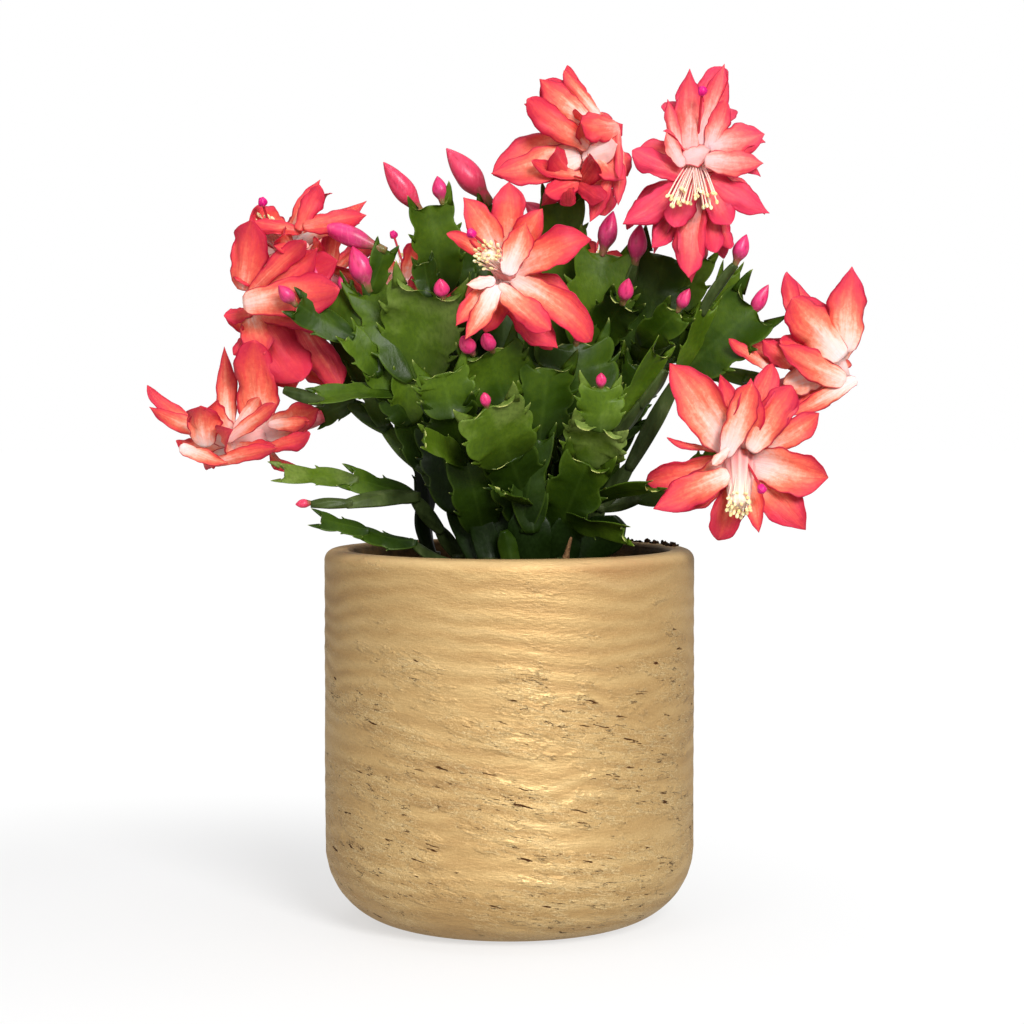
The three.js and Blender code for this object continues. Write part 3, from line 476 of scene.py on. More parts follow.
BLOOMS = {
  "bloom_lower_left": bloom([-71, 3, 191], [-107, -8, 179], 0.6, petals=[
    front_outer([-94, -16, 220], 17, 0.1, -10, 0.95), front([-137, -2, 201], 7, 0.15, 20),
    front([-134, -16, 195], 7, 0.15, -20), front([-113, -28, 196], 15), inner([-103, -36, 186], 11),
    front([-125, -8, 180], 9, 0.1, 30), front([-108, 6, 216], 8, 0.02),
    front_outer([-70, -20, 194], 13, 0.1, 10, 1.0), front([-86, -20, 180], 8, 0.1, -10),
    outer([-84, 14, 170], 10), inner([-120, 12, 174], 11),
  ]),
  "bloom_upper_left": bloom([-64, 8, 239], [-84, -6, 254], 0.55,
    pistil=[[-92, -14, 262], [-91, -20, 270]], petals=[
    front([-96, -13, 268], 14, 0.1, 15), front([-78, 4, 267], 12, 0.1, -20),
    front([-72, 6, 280], 8, 0.1, 10), front([-55, 8, 270], 9, 0.1, -10), inner([-84, -28, 259], 9, 0.1),
    front([-101, -17, 240], 14, 0.15, 10), inner([-105, 5, 248], 13), front_outer([-69, -22, 256], 9),
    front_outer([-64, -10, 229], 11), outer([-55, 16, 240], 10), front([-86, -22, 231], 12, 0.15, 10),
  ]),
  "bloom_left_behind": bloom([-69, 7, 215], [-87, 4, 221], 0.6, petals=[
    front([-108, 0, 229], 9), front([-101, -12, 224], 12, 0.1, 15), front([-93, -8, 204], 14, 0.15),
    front([-81, 2, 201], 13, 0.15), inner([-98, 16, 234], 12), inner([-102, 16, 212], 11),
    front_outer([-66, -2, 202], 10), outer([-74, -8, 230], 9),
  ]),
  "bloom_centre": bloom([-2, -10, 232], [-1, -44, 244], 0.75,
    pistil=[[-8, -58, 249], [-13, -63, 256]], petals=[
    inner([-16, -52, 270], 12), inner([0, -50, 276], 12.5), inner([11, -57, 265], 10.5),
    inner([30, -48, 257], 14), inner([31, -50, 219], 12), inner([-9, -46, 221], 11),
    inner([-19, -58, 224], 8), inner([-22, -54, 257], 6), outer([23, -38, 236], 10),
    outer([16, -42, 216], 10), outer([-25, -34, 232], 7), outer([10, -34, 260], 9),
  ]),
  "bloom_top_centre": bloom([20, 3, 272], [33, -12, 294], 0.6, petals=[
    front([21, -8, 321], 8, 0.1, 20), front([12, -18, 315], 13, 0.1, -15),
    front([5, -26, 305], 12, 0.15, 10), front([24, -32, 300], 12, 0.1, 30),
    front([42, -8, 300], 8, 0.1, 20), front([-6, -16, 281], 14, 0.2, -20), inner([32, 14, 309], 12),
    front([44, -16, 280], 10, 0.15, 20), front_outer([12, -12, 269], 9),
    front_outer([36, -14, 265], 11, 0.1, 10), front_outer([24, -24, 277], 10), outer([38, 10, 277], 9),
    outer([10, 10, 285], 9),
  ]),
  "bloom_top_right": bloom([73, 10, 252], [69, -20, 286], 0.8,
    pistil=[[66, -41, 270], [70, -34, 309]], petals=[
    inner([78, -18, 321], 11), inner([66, -22, 316], 10), inner([58, -14, 309], 8),
    inner([94, -24, 294], 14), inner([92, -32, 281], 10), inner([57, -34, 296], 7),
    inner([45, -20, 288], 11), inner([84, -2, 308], 10), outer([42, -14, 262], 12, 0.15),
    outer([96, -12, 267], 12, 0.15), outer([66, -32, 241], 11, 0.2), outer([52, -26, 252], 8, 0.15),
    outer([80, -24, 250], 8, 0.15), outer([80, 14, 282], 9),
  ]),
  "bloom_lower_right": bloom([81, -2, 177], [84, -38, 175], 0.75,
    pistil=[[82, -55, 160], [90, -56, 166]], petals=[
    inner([58, -42, 211], 17), inner([87, -50, 205], 11), inner([103, -44, 203], 12),
    inner([115, -38, 193], 10), inner([116, -46, 169], 16), inner([108, -44, 150], 14),
    inner([90, -50, 150], 8), inner([76, -44, 146], 12), inner([53, -40, 157], 13),
    outer([97, -30, 211], 10), outer([78, -28, 208], 9), outer([50, -32, 167], 11),
    outer([104, -28, 162], 10),
  ]),
  "bloom_right": bloom([99, -10, 201], [126, -12, 210], 0.6, petals=[
    front([127, -10, 246], 13, 0.05, 10), front([104, -15, 236], 16, 0.15, -10),
    front([98, -24, 217], 12, 0.2, 10), front([103, -2, 243], 9, 0.1, 20),
    inner([122, 18, 222], 12, 0.1), front([106, -20, 193], 10), front_outer([83, -14, 218], 8),
    outer([104, 12, 195], 10), front_outer([94, -6, 219], 11),
  ]),
}


BUDS = {
  "bud_top_left_outer": [[-33, -3.5, 267], [-47, -8, 286], 8.5, "red"],
  "bud_top_left_small": [[-25, -6, 271], [-27, -6, 281], 6],
  "bud_top_left_inner": [[-8, 14, 273], [-24, 12, 293], 10.5, "red"],
  "bud_left_long": [[-47, -19.5, 253], [-73, -16, 264], 8],
  "bud_left_front": [[-52, -18, 238], [-58, -20, 254], 9],
  "bud_left_side": [[-65, -15, 237], [-75, -19, 247], 6.5],
  "bud_left_end": [[-78, -32, 232], [-84, -35, 239], 5.5],
  "bud_over_big_leaf": [[-24, -38, 234], [-25, -43, 241], 6],
  "bud_under_bloom_left": [[-13, -44, 214], [-17, -53, 220], 6],
  "bud_under_bloom_right": [[-6, -44, 215], [-9, -55, 221], 5.5],
  "bud_middle_upper": [[35, -4, 252], [39, -5, 268], 7.5],
  "bud_middle_behind": [[17, 5, 262], [6, 3, 272], 8, "red"],
  "bud_middle_right": [[47, -6, 248], [49, -9, 263], 7.5],
  "bud_middle_front": [[24.5, -22, 217.5], [28, -29, 229], 5.5],
  "bud_right_tip": [[83, -25, 247], [87, -27, 258], 6],
  "bud_middle_low": [[42, -18, 233], [44, -24, 242], 6],
  "bud_right_low": [[62, -25, 230], [66, -29, 238], 5],
  "bud_right_leaf": [[89.5, -15.5, 228], [96, -18, 240], 5.5],
}


SMALL_BUDS = [
  [[-62, -15, 237], [-62, -16, 244], 4],
  [[-8, -52, 195], [-9, -55, 200], 4],
  [[33, -46, 202], [33, -49, 207], 4],
  [[-73, -29, 159.5], [-78.5, -30, 159], 3.4, "red"],
]


# More petals in front of the first, seen only in the finished look: (root, tip, width, depth, turn). A
# depth above 1.5 darkens a petal with painted shade.
EXTRA_PETALS = {
  "bloom_lower_left": [
    ([-113, -19, 180], [-113, -29, 196], 13, 0.95, 0), ([-105, -18, 182], [-85, -30, 196], 6, 1.0, 10),
    ([-110, -21, 174], [-84, -31, 180], 6, 1.15, 15), ([-92, -15, 179], [-72, -27, 184], 7, 1.2, -10),
    ([-90, -14, 188], [-73, -22, 189], 6, 0.9, 0), ([-84, -11, 182], [-72, -25, 190], 3, 1.2, 20),
    ([-122, -21, 180], [-104, -24, 173], 6, 0.75, -15), ([-102, -17, 186], [-92, -20, 198], 6, 0.5, 0),
  ],
  "bloom_upper_left": [
    ([-99, -16, 238], [-94, -25, 264], 14, 1.2, 0), ([-77, -16, 260], [-94, -24, 262], 6, 1.35, 0),
    ([-75, -13, 255], [-87, -29, 252], 6, 1.1, 10), ([-78, -19, 260], [-70, -18, 276], 8, 1.3, 0),
    ([-76, -20, 261], [-54, -16, 265], 9, 1.3, 10), ([-96, -19, 237], [-74, -28, 256], 8, 1.25, 20),
    ([-92, -17, 236], [-69, -26, 252], 14, 1.3, -10), ([-98, -24, 233], [-62, -29, 237], 15, 1.12, 10),
    ([-83, -15, 242], [-63, -20, 248], 14, 1.45, 0),
  ],
  "bloom_left_behind": [
    ([-96, -11, 230], [-106, -12, 228], 6, 1.3, 0), ([-97, -9, 232], [-91, -14, 214], 13, 0.9, 0),
    ([-93, -9, 229], [-77, -16, 204], 19, 1.6, 0), ([-80, -8, 228], [-63, -12, 202], 12, 1.6, 10),
    ([-95, -9, 223], [-103, -10, 214], 6, 1.25, 0), ([-95, -9, 231], [-63, -18, 226], 11, 1.15, -10),
  ],
  "bloom_top_centre": [
    ([27, -23, 286], [40, -31, 290], 10, 0.05, 0), ([33, -20, 302], [20, -18, 318], 6, 1.1, 15),
    ([28, -22, 300], [11, -24, 314], 11, 1.1, 0), ([29, -24, 290], [6, -30, 306], 11, 1.12, 0),
    ([40, -27, 297], [25, -35, 297], 12, 1.2, 0), ([40, -27, 297], [40, -30, 278], 3, 1.2, 0),
    ([26, -22, 287], [-6, -26, 279], 14, 1.05, 0), ([31, -20, 279], [7, -30, 283], 6, 1.15, 0),
    ([30, -24, 289], [42, -30, 277], 10, 0.9, 0), ([26, -16, 275], [14, -34, 288], 10, 1.35, 0),
    ([25, -16, 275], [32, -34, 285], 9, 1.75, 0), ([22, -18, 279], [21, -34, 267], 6, 1.9, 0),
    ([24, -18, 279], [35, -32, 269], 8, 1.7, 0), ([28, -18, 279], [13, -31, 272], 8, 1.5, 0),
    ([37, -26, 279], [30, -24, 263], 6, 1.3, 0), ([41, -25, 289], [40, -24, 269], 5, 1.1, 0),
  ],
  "bloom_top_right": [
    ([70, -24, 289], [79, -20, 320], 11, 0.9, 0), ([66, -25, 289], [66, -22, 317], 12, 0.85, 0),
    ([62, -26, 289], [58, -24, 307], 5, 1.0, 0), ([73, -27, 289], [79, -25, 306], 8, 0.9, 0),
    ([73, -27, 290], [93, -26, 294], 14, 1.05, 0), ([71, -34, 284], [92, -33, 283], 10, 0.6, 0),
    ([63, -33, 282], [57, -32, 294], 6, 0.45, 0), ([63, -30, 285], [73, -31, 288], 8, 0.12, 0),
    ([64, -28, 279], [45, -28, 288], 10, 1.5, 0), ([64, -28, 276], [42, -30, 261], 11, 1.45, 0),
    ([66, -30, 279], [60, -33, 260], 11, 1.3, 0), ([68, -24, 272], [65, -34, 241], 12, 1.05, 0),
    ([71, -29, 278], [80, -32, 261], 10, 1.25, 0), ([73, -29, 278], [94, -30, 265], 11, 1.45, 0),
    ([73, -22, 271], [75, -31, 250], 8, 1.25, 0), ([65, -19, 268], [52, -29, 252], 8, 1.2, 0),
    ([76, -20, 267], [81, -27, 252], 6, 1.2, 0),
  ],
  "bloom_lower_right": [
    ([75, -38, 179], [57, -40, 182], 3, 1.2, 20), ([79, -48, 171], [53, -46, 158], 12, 1.0, 0),
    ([79, -48, 180], [73, -50, 174], 4, 0.2, 0), ([78, -47, 177], [87, -50, 203], 11, 0.9, 0),
    ([87, -45, 179], [102, -45, 202], 12, 0.95, 0),
  ],
  "bloom_right": [
    ([124, -22, 215], [126, -20, 245], 14, 0.95, 0), ([123, -24, 213], [103, -28, 234], 16, 0.9, 0),
    ([110, -20, 218], [102, -18, 243], 7, 1.1, 0), ([124, -24, 204], [98, -31, 217], 11, 0.85, 0),
    ([104, -23, 210], [93, -25, 219], 8, 1.2, 0), ([96, -22, 209], [81, -22, 219], 5, 1.1, 0),
    ([118, -22, 208], [102, -20, 203], 12, 0.25, 0), ([128, -24, 205], [104, -22, 191], 7, 0.9, 0),
  ],
  "bloom_centre": [
    ([-4, -56, 238], [-15, -58, 219], 8, 0.85, 0), ([-4, -56, 238], [14, -58, 222], 10, 0.85, 0),
    ([-5, -56, 240], [-15, -57, 238], 5, 0.3, 0), ([-1, -56, 242], [6, -57, 260], 10, 0.8, 0),
    ([0, -44, 233], [17, -46, 216], 12, 1.5, 0),
  ],
}


# More segments, seen only in the finished look: where each starts, and what grows there. Most have low
# tones, a dark green that is painted shade inside the plant.
EXTRA_SEGMENTS = {
  "stem_upper_left": [
    ([-14, 10, 189], seg([-4, 16, 214], 20, 0, [seg([0, 18, 238], 18, 10, (), 0.1)], 0.1)),
    ([-8, 12, 163], seg([-28, 7, 190], 16, 10, [seg([-37, 4, 212], 18, -10, (), 0.15)], 0.1)),
  ],
  "stem_centre_right": [
    ([18, 9, 166], seg([44, 4, 190], 15, 10, [seg([50, 0, 210], 15, -10, (), 0.15)], 0.1)),
  ],
  "stem_front_left": [
    ([-10, -9, 137.5], seg([-22, -11, 166], 17, 0, [seg([-28, -12, 187], 17, 0, (), 0.1)], 0.05)),
  ],
  "stem_centre": [
    ([1, -11, 137.5], seg([-5, -13, 171], 22, 0, [seg([-9, -14, 190], 18, 0, (), 0.1)], 0.0)),
    ([1, -21, 136.5], seg([-2, -23, 149], 9.6, 0, (), 0.7)),
  ],
  "stem_front_right": [
    ([17, -6, 137.5], seg([25, -8, 170], 22, 0, [seg([30, -9, 190], 18, 0, (), 0.1)], 0.0)),
  ],
  "stem_right": [([26, -3, 137.5], seg([42, -8, 152], 20, 20, (), 0.0))],
}


# Pot
POT_RADIUS = 70.0
POT_HEIGHT = 141.0
FOOT_ROUNDING = 29.0
RIM_ROUNDING = 4.0
RIM_INNER_ROUNDING = 1.5
BORE_RADIUS = 60.5
FLOOR_HEIGHT = 12.0
BORE_ROUNDING = 18.0
GAP = 0.3
POT_SIDES = 480
POT_STEP = 0.95
POT_SLANT = 0.05
CRACK_SLANT = 0.2
RIPPLE_HEIGHT = 7.2
RIPPLE_DEPTH = 0.06
SWELL_DEPTH = 0.2
ROUGHNESS_DEPTH = 0.05
STAIN_AZIMUTH = 306
STAIN_WIDTH = 0.3
STAIN_HEIGHT = 12
NOISE_FADE, NOISE_STEP = 0.9, 2.1


def arc(cx, cy, radius, start, end, steps):
    angles = np.radians(np.linspace(start, end, steps + 1))
    return np.stack([cx + radius * np.cos(angles), cy + radius * np.sin(angles)], 1)


def turned(profile, sides):
    """Rings of a round shape, from their radii and heights."""
    r, z = np.array(profile).T[..., None]
    angles = turn_of(sides)
    return np.stack(np.broadcast_arrays(r * np.cos(angles), r * np.sin(angles), z), -1)


def pot_profile():
    """Radius and height, from the middle of the base over the rim to the middle of the floor."""
    wall = np.arange(FOOT_ROUNDING + POT_STEP, POT_HEIGHT - RIM_ROUNDING, POT_STEP)
    foot = POT_RADIUS - FOOT_ROUNDING
    lip = BORE_RADIUS + RIM_INNER_ROUNDING
    return np.concatenate([
        [[0.5, 0.0], [20.0, 0.0], [foot - 1, 0.0]],
        arc(foot, FOOT_ROUNDING, FOOT_ROUNDING, -90, 0, 46),
        np.stack([np.full(len(wall), POT_RADIUS), wall], 1),
        arc(POT_RADIUS - RIM_ROUNDING, POT_HEIGHT - RIM_ROUNDING, RIM_ROUNDING, 0, 90, 7),
        [[64.0, POT_HEIGHT]],
        arc(lip, POT_HEIGHT - RIM_INNER_ROUNDING, RIM_INNER_ROUNDING, 90, 180, 3),
        [[BORE_RADIUS, POT_HEIGHT - depth] for depth in (4, 6.5, 10, 61)],
        arc(BORE_RADIUS - BORE_ROUNDING, FLOOR_HEIGHT + BORE_ROUNDING, BORE_ROUNDING, 0, -90, 5),
        [[0.5, FLOOR_HEIGHT]],
    ])


def fbm(x, y, z, octaves):
    """Layered noise from about -1 to 1, for a point already scaled."""
    return noise.fractal(Vector((x, y, z)), NOISE_FADE, NOISE_STEP, octaves)


def pot_relief(angle, height):
    """How far the wall stands out here in mm: slanting ripples, a slow swell and a fine roughness."""
    x, y = math.cos(angle), math.sin(angle)
    slanted = height + POT_SLANT * POT_RADIUS * x
    phase = (slanted + 8 * fbm(x * 1.5, y * 1.5, slanted * 0.022, 2)) * FULL_TURN / RIPPLE_HEIGHT
    ripple = RIPPLE_DEPTH * math.sin(phase) * (1 + fbm(x * 2.3 + 7, y * 2.3, height * 0.04, 2))
    swell = SWELL_DEPTH * fbm(x * 1.1 + 9, y * 1.1, height * 0.022, 2)
    fade = min(1.0, max(0.0, (height - 4) / 8)) * min(1.0, max(0.2, (POT_HEIGHT - 6 - height) / 10))
    return (ripple + swell) * fade + ROUGHNESS_DEPTH * fbm(x * 34.0, y * 34.0, height * 0.9, 2)


def make_pot(material):
    profile = pot_profile()
    angles = turn_of(POT_SIDES)
    rings = turned(profile, POT_SIDES)
    top = int(np.argmax(profile[:, 1]))
    for ring, (radius, height) in zip(rings[:top + 2], profile):
        if radius > POT_RADIUS - FOOT_ROUNDING:
            for point, angle in zip(ring, angles):
                point[:2] *= 1 + pot_relief(angle, height) / radius
    past_rim = np.arange(len(profile))[:, None] - top
    below_rim = POT_HEIGHT - profile[:, 1:]
    inside = np.where(past_rim <= 2, 0.0, np.minimum(1.0, (past_rim - 2) / 3 + 0.1))
    outside = past_rim <= 1
    # Partly worn paint, partly painted highlight: a pale band along the rounded outer edge of the rim.
    worn_edge_and_highlight = outside * np.maximum(0.0, 1 - abs(1 - below_rim) / 2.5)
    stain = np.exp(-((angles - math.radians(STAIN_AZIMUTH)) / STAIN_WIDTH) ** 2)
    stain = stain * outside * np.maximum(0.0, 1 - below_rim / STAIN_HEIGHT)
    build = Build("finished_pot")
    build.tube(rings, (0, inside, worn_edge_and_highlight, stain))
    build.finish(material, ["pot"])


# Soil: a rough top with twigs and crumbs, some of them spilt on the rim at the back
SOIL_EDGE_HEIGHT = 132.0
SOIL_TOP_HEIGHT = 135.5
SOIL_CLEARANCE = 0.4
SOIL_SIDES = 180
SOIL_ROWS = 60
SOIL_CRUMBS = 900
RIM_CRUMBS = 60
RIM_SEED = 5000
CRUMB_MARGIN, RIM_MARGIN = 1.5, 2.0
SMALLEST_CRUMB, CRUMB_RANGE = 0.5, 1.5
SMALLEST_SPILT, SPILT_RANGE = 0.35, 0.8
SPILT_FROM, SPILT_SPAN, SPILT_BAND = 8, 46, 4.6
CRUMB_LATITUDES = [-72, -30, 12, 50, 78]
CRUMB_SIDES = 6
TWIG_STEPS, TWIG_SIDES = 10, 8
TWIGS = [([[20, -20, 133], [21, -21, 140], [23, -22, 146.5]], 2.0),
         ([[-2, -34, 135.5], [-14, -36, 137.5], [-29, -34, 135.8]], 0.8)]


def crumb(build, centre, size, seed):
    """An uneven lump of bark or soil."""
    stretch = [0.6 + 0.8 * chance(seed + k) for k in (0.1, 0.2, 0.3)]
    turn = chance(seed + 0.4) * math.pi
    rings = []
    for latitude in np.radians(CRUMB_LATITUDES):
        ring = []
        for k in range(CRUMB_SIDES):
            longitude = k * FULL_TURN / CRUMB_SIDES + turn
            flat = math.cos(latitude)
            way = [flat * math.cos(longitude), flat * math.sin(longitude), math.sin(latitude)]
            r = size * (0.75 + 0.5 * chance(seed * 3 + k + latitude))
            ring.append([c + r * s * w for c, s, w in zip(centre, stretch, way)])
        rings.append(ring)
    build.tube(np.array(rings), tone=chance(seed + 0.7) ** 1.6)


def soil_height(x, y):
    radius = math.hypot(x, y)
    body = SOIL_TOP_HEIGHT - (SOIL_TOP_HEIGHT - SOIL_EDGE_HEIGHT) * (radius / BORE_RADIUS) ** 1.6
    return body + 0.9 * fbm(x * 0.08, y * 0.08, 3.0, 3) + 0.5 * fbm(x * 0.45, y * 0.45, 7.0, 2) - 0.6


def make_soil(material):
    radius = BORE_RADIUS - SOIL_CLEARANCE
    below = [(radius * 0.6, FLOOR_HEIGHT + GAP + 1), (radius, FLOOR_HEIGHT + BORE_ROUNDING),
             (radius, 120.0)]
    rings = turned(below + [(r, 0.0) for r in np.linspace(radius, 0.8, SOIL_ROWS)], SOIL_SIDES)
    for point in rings[len(below):].reshape(-1, 3):
        point[2] = soil_height(*point[:2])
    build = Build("finished_soil")
    build.tube(rings, tone=0.35)
    for line, thickness in TWIGS:
        centres = bezier(*(vec(p) for p in line), np.linspace(0, 1, TWIG_STEPS))
        radii = [thickness * (1 - 0.8 * k / (TWIG_STEPS - 1)) * (0.85 + 0.3 * chance(k + thickness))
                 for k in range(TWIG_STEPS)]
        build.tube(thread_rings(centres, radii, TWIG_SIDES), tone=1.0)
    for k in range(SOIL_CRUMBS):
        r = (radius - CRUMB_MARGIN) * math.sqrt(chance(k + 0.31))
        angle = FULL_TURN * chance(k + 0.77)
        x, y = r * math.cos(angle), r * math.sin(angle)
        size = SMALLEST_CRUMB + CRUMB_RANGE * chance(k + 0.13) ** 3
        crumb(build, (x, y, soil_height(x, y) + size * 0.25), size, k)
    for k in range(RIM_CRUMBS):
        angle = math.radians(SPILT_FROM + SPILT_SPAN * chance(k + 5.31))
        r = BORE_RADIUS + RIM_MARGIN + SPILT_BAND * chance(k + 5.7)
        size = SMALLEST_SPILT + SPILT_RANGE * chance(k + 5.9) ** 2
        place = (r * math.cos(angle), r * math.sin(angle), POT_HEIGHT + size * 0.3)
        crumb(build, place, size, RIM_SEED + k)
    build.finish(material, ["soil"])


# Stem segments
FRONT = unit(np.array([0.0, -1.0, 0.25]))
BLADE_THICKNESS = 1.6
WOODY_THICKNESS = 3.2
STALK_THICKNESS = 4.5
EDGE_SHARE = 0.3
RIB_HEIGHT, RIB_WIDTH = 0.4, 0.16
NECK_HEIGHT, NECK_LENGTH = 0.7, 0.14
BEND, FOLD, WAVE = 0.8, 0.6, 0.1
KNOBBLES = 0.14
OLD_BELOW, AGEING_BELOW = 8, 9.4
PLAIN_BELOW = 9
ONE_TOOTH_BELOW = 15
SIDE_SEED = 3
NAME_SEED = 7
SINK = 2.2
SINK_IN_STALK = 11.0
STALK_FRONT = 1.4
STALK_BELOW = 140

# Half outlines from base to tip: (along, across, middle line), then (steps, bulge) of each span
PLAIN = ([(0, 0.32, 0), (0.55, 0.5, 0.5), (1.0, 0.28, 1.0)], [(9, 0.04), (9, 0.04)])
ONE_TOOTH = ([(0, 0.15, 0), (0.55, 0.5, 0.5), (0.64, 0.36, 0.58), (1.1, 0.42, 0.9), (1.0, 0.14, 1.0)],
             [(12, 0.1), (3, -0.03), (11, 0.08), (8, -0.09)])
TWO_TEETH = ([(0, 0.13, 0), (0.4, 0.5, 0.36), (0.48, 0.38, 0.43), (0.72, 0.52, 0.66), (0.8, 0.38, 0.73),
              (1.1, 0.44, 0.9), (1.0, 0.14, 1.0)],
             [(12, 0.1), (3, -0.03), (8, 0.06), (3, -0.03), (9, 0.06), (8, -0.09)])
STALK = ([(0, 0.3, 0), (0.4, 0.37, 0.4), (0.72, 0.31, 0.72), (1.0, 0.15, 1.0)],
         [(9, 0.02), (8, 0.02), (6, 0.01)])
BASE_ON_STALK = (0, 0.2, 0)
TOOTH_SHIFT = 0.07
NOTCH_FILL = 0.1
ACROSS = np.sin(np.radians(np.linspace(-90, 90, 15)))
AT_EDGE = 0.999


def outline_of(width, start):
    if width < PLAIN_BELOW:
        return PLAIN
    if start[2] < STALK_BELOW:
        return STALK
    return ONE_TOOTH if width < ONE_TOOTH_BELOW else TWO_TEETH


def half_edge(keys, spans, width, length, seed, sign):
    """Points of one edge: across, along."""
    corners = []
    for k, (along, across, _) in enumerate(keys):
        between = 0 < k < len(keys) - 1
        if between and k % 2 == 0:
            across += NOTCH_FILL * min(1.0, chance(seed + 0.77) + max(0.0, width - 20) / 10)
        shift = (chance(seed + sign * SIDE_SEED + k) - 0.5) * TOOTH_SHIFT if between else 0
        corners.append(np.array([across * width, (along + shift) * length]))
    edge = []
    for a, b, (steps, bulge) in zip(corners, corners[1:], spans):
        t = np.arange(steps)[:, None] / steps
        chord = b - a
        outward = np.array([chord[1], -chord[0]]) / np.linalg.norm(chord)
        edge.append(a + chord * t + outward * bulge * width * 4 * t * (1 - t))
    return np.concatenate(edge + [corners[-1][None]]) * [sign, 1]


def tip_paleness(starts, rows):
    """Strong at the tips of the teeth, and along the scar between the horns."""
    place = np.arange(rows)
    teeth = [0.35 * np.exp(-((place - start) / 0.9) ** 2) for start in starts[1::2]]
    return np.maximum.reduce(teeth + [np.where(place > starts[-2] + 2, 0.55, 0.0)])


CLAW_ROWS = 6
CLAW_SIDES = 6
LONGEST_CLAW = 7.0
WIDEST_CLAW = 2.9

# Size of the claw, and how far it points forwards and outwards
HORN = (1, 0.92, 0.3)
TOOTH = (0.5, 0.7, 0.8)


def add_claw(build, place, way, inward, normal, length, half_width, tone):
    """The curved flat point in which a tooth or a horn ends."""
    t = np.linspace(0, 1, CLAW_ROWS)
    start = place + (inward * 0.8 - way * 0.9) * half_width
    end = place + way * length + inward * length * 0.15
    line = bezier(start, place + way * length * 0.6, end, t)
    side = units(np.cross(np.gradient(line, axis=0), normal))
    wide = half_width * (1 - t) ** 1.15 + 0.05
    thick = np.minimum(wide, 0.24 * (1 - t) ** 0.5 + 0.05)
    turn = turn_of(CLAW_SIDES)
    rings = (line[:, None] + side[:, None] * (wide[:, None] * np.cos(turn))[..., None]
             + normal * (thick[:, None] * np.sin(turn))[..., None])
    rise = t[:, None]
    build.tube(rings, (0, 0.6 + 0.4 * rise, 1, 0.1 + 0.4 * rise ** 3), tone)


def add_segment(build, start, end, width, turn, facing, seed, tone, on_stalk):
    along = unit(end - start)
    normal = turned_about(square_to(facing, along), along, turn)
    across = np.cross(along, normal)
    keys, spans = outline_of(width, start)
    woody, stalk, toothed = width < PLAIN_BELOW, keys is STALK[0], len(keys) > len(STALK[0])
    if on_stalk:
        keys = [BASE_ON_STALK] + keys[1:]
    start = start - along * SINK_IN_STALK + normal * STALK_FRONT if on_stalk else start - along * SINK
    length = np.linalg.norm(end - start)
    left, right = (half_edge(keys, spans, width, length, seed, sign) for sign in (-1, 1))
    middle = [np.linspace(a[2], b[2], steps, endpoint=False)
              for a, b, (steps, _) in zip(keys, keys[1:], spans)]
    part = np.concatenate(middle + [[1.0]])[:, None]
    v = ACROSS[None, :]
    near = np.abs(v)
    side = np.where((v < 0)[..., None], left[:, None], right[:, None])
    x = near * side[..., 0]
    y = part * length * (1 - near ** 1.4) + side[..., 1] * near ** 1.4
    # Thickness: a thin edge, a low rib, and a thicker neck where the segment is joined
    thickness = WOODY_THICKNESS if woody else STALK_THICKNESS if stalk else BLADE_THICKNESS
    body = thickness / 2 * (EDGE_SHARE + (1 - EDGE_SHARE) * (1 - v ** 2)) * (0.85 if woody else 0.8)
    rib = RIB_HEIGHT * np.exp(-(v / RIB_WIDTH) ** 2) * (1 - 0.75 * part)
    neck = NECK_HEIGHT * np.exp(-(part / NECK_LENGTH) ** 2) * (1 - v ** 2)
    half = (body + rib + neck) * (near < AT_EDGE)
    # The blade is never flat: it bends, folds at the rib and waves at its edge
    reach = max(abs(left[:, 0]).max(), right[:, 0].max())
    arch = BEND * (chance(seed + 0.21) - 0.5) * length * part * (1 - part)
    if woody:
        z = arch * 0.5 * np.ones_like(v)
        half = half * (1 + KNOBBLES * np.sin(9 * part + 5 * v + seed))
    else:
        fold = FOLD * (chance(seed + 0.43) - 0.35) * reach * near ** 1.5 * np.minimum(1, part * 2.5)
        wave = WAVE * reach * np.sin(FULL_TURN * (1.4 * part + chance(seed + 0.65)) + np.sign(v) * 1.3)
        z = arch + fold + wave * v ** 2 * np.minimum(1, part * 3)
    place = start + x[..., None] * across + y[..., None] * along
    starts = np.cumsum([0] + [steps for steps, _ in spans])
    age = 0.7 if width < OLD_BELOW else 0.35 if width < AGEING_BELOW else 0
    pale = tip_paleness(starts, len(part))[:, None] * near ** 5 if toothed else 0.0
    build.blade(place, z, half, normal, (age, 0.2 + 0.6 * near if stalk else near, part, pale), tone)
    if not toothed:
        return
    surface = place + z[..., None] * normal
    for row in starts[1:-1:2]:
        horn = row == starts[-2]
        size, forward, outwards = HORN if horn else TOOTH
        half_width = min(WIDEST_CLAW, 0.14 * width) * (1 if horn else 0.55)
        for sign, column, inner_column in ((-1, 0, 2), (1, -1, -3)):
            claw = min(LONGEST_CLAW, width * (0.2 + 0.14 * chance(seed + row + sign)) * size)
            inward = unit(surface[row, inner_column] - surface[row, column])
            way = unit(along * forward - inward * outwards + normal * 0.06)
            add_claw(build, surface[row, column], way, inward, unit(np.cross(inward, along)), claw,
                     half_width, tone)


# Stems: each stands on a peg in its hole in the soil
PEG_DEPTH = 14.0
PEG_TOP = 3.0
PEG_RADIUS = 3.2
PEG_TAPER = 0.8
PEG_ROWS, PEG_SIDES = 12, 12
COLLAR = 2.0


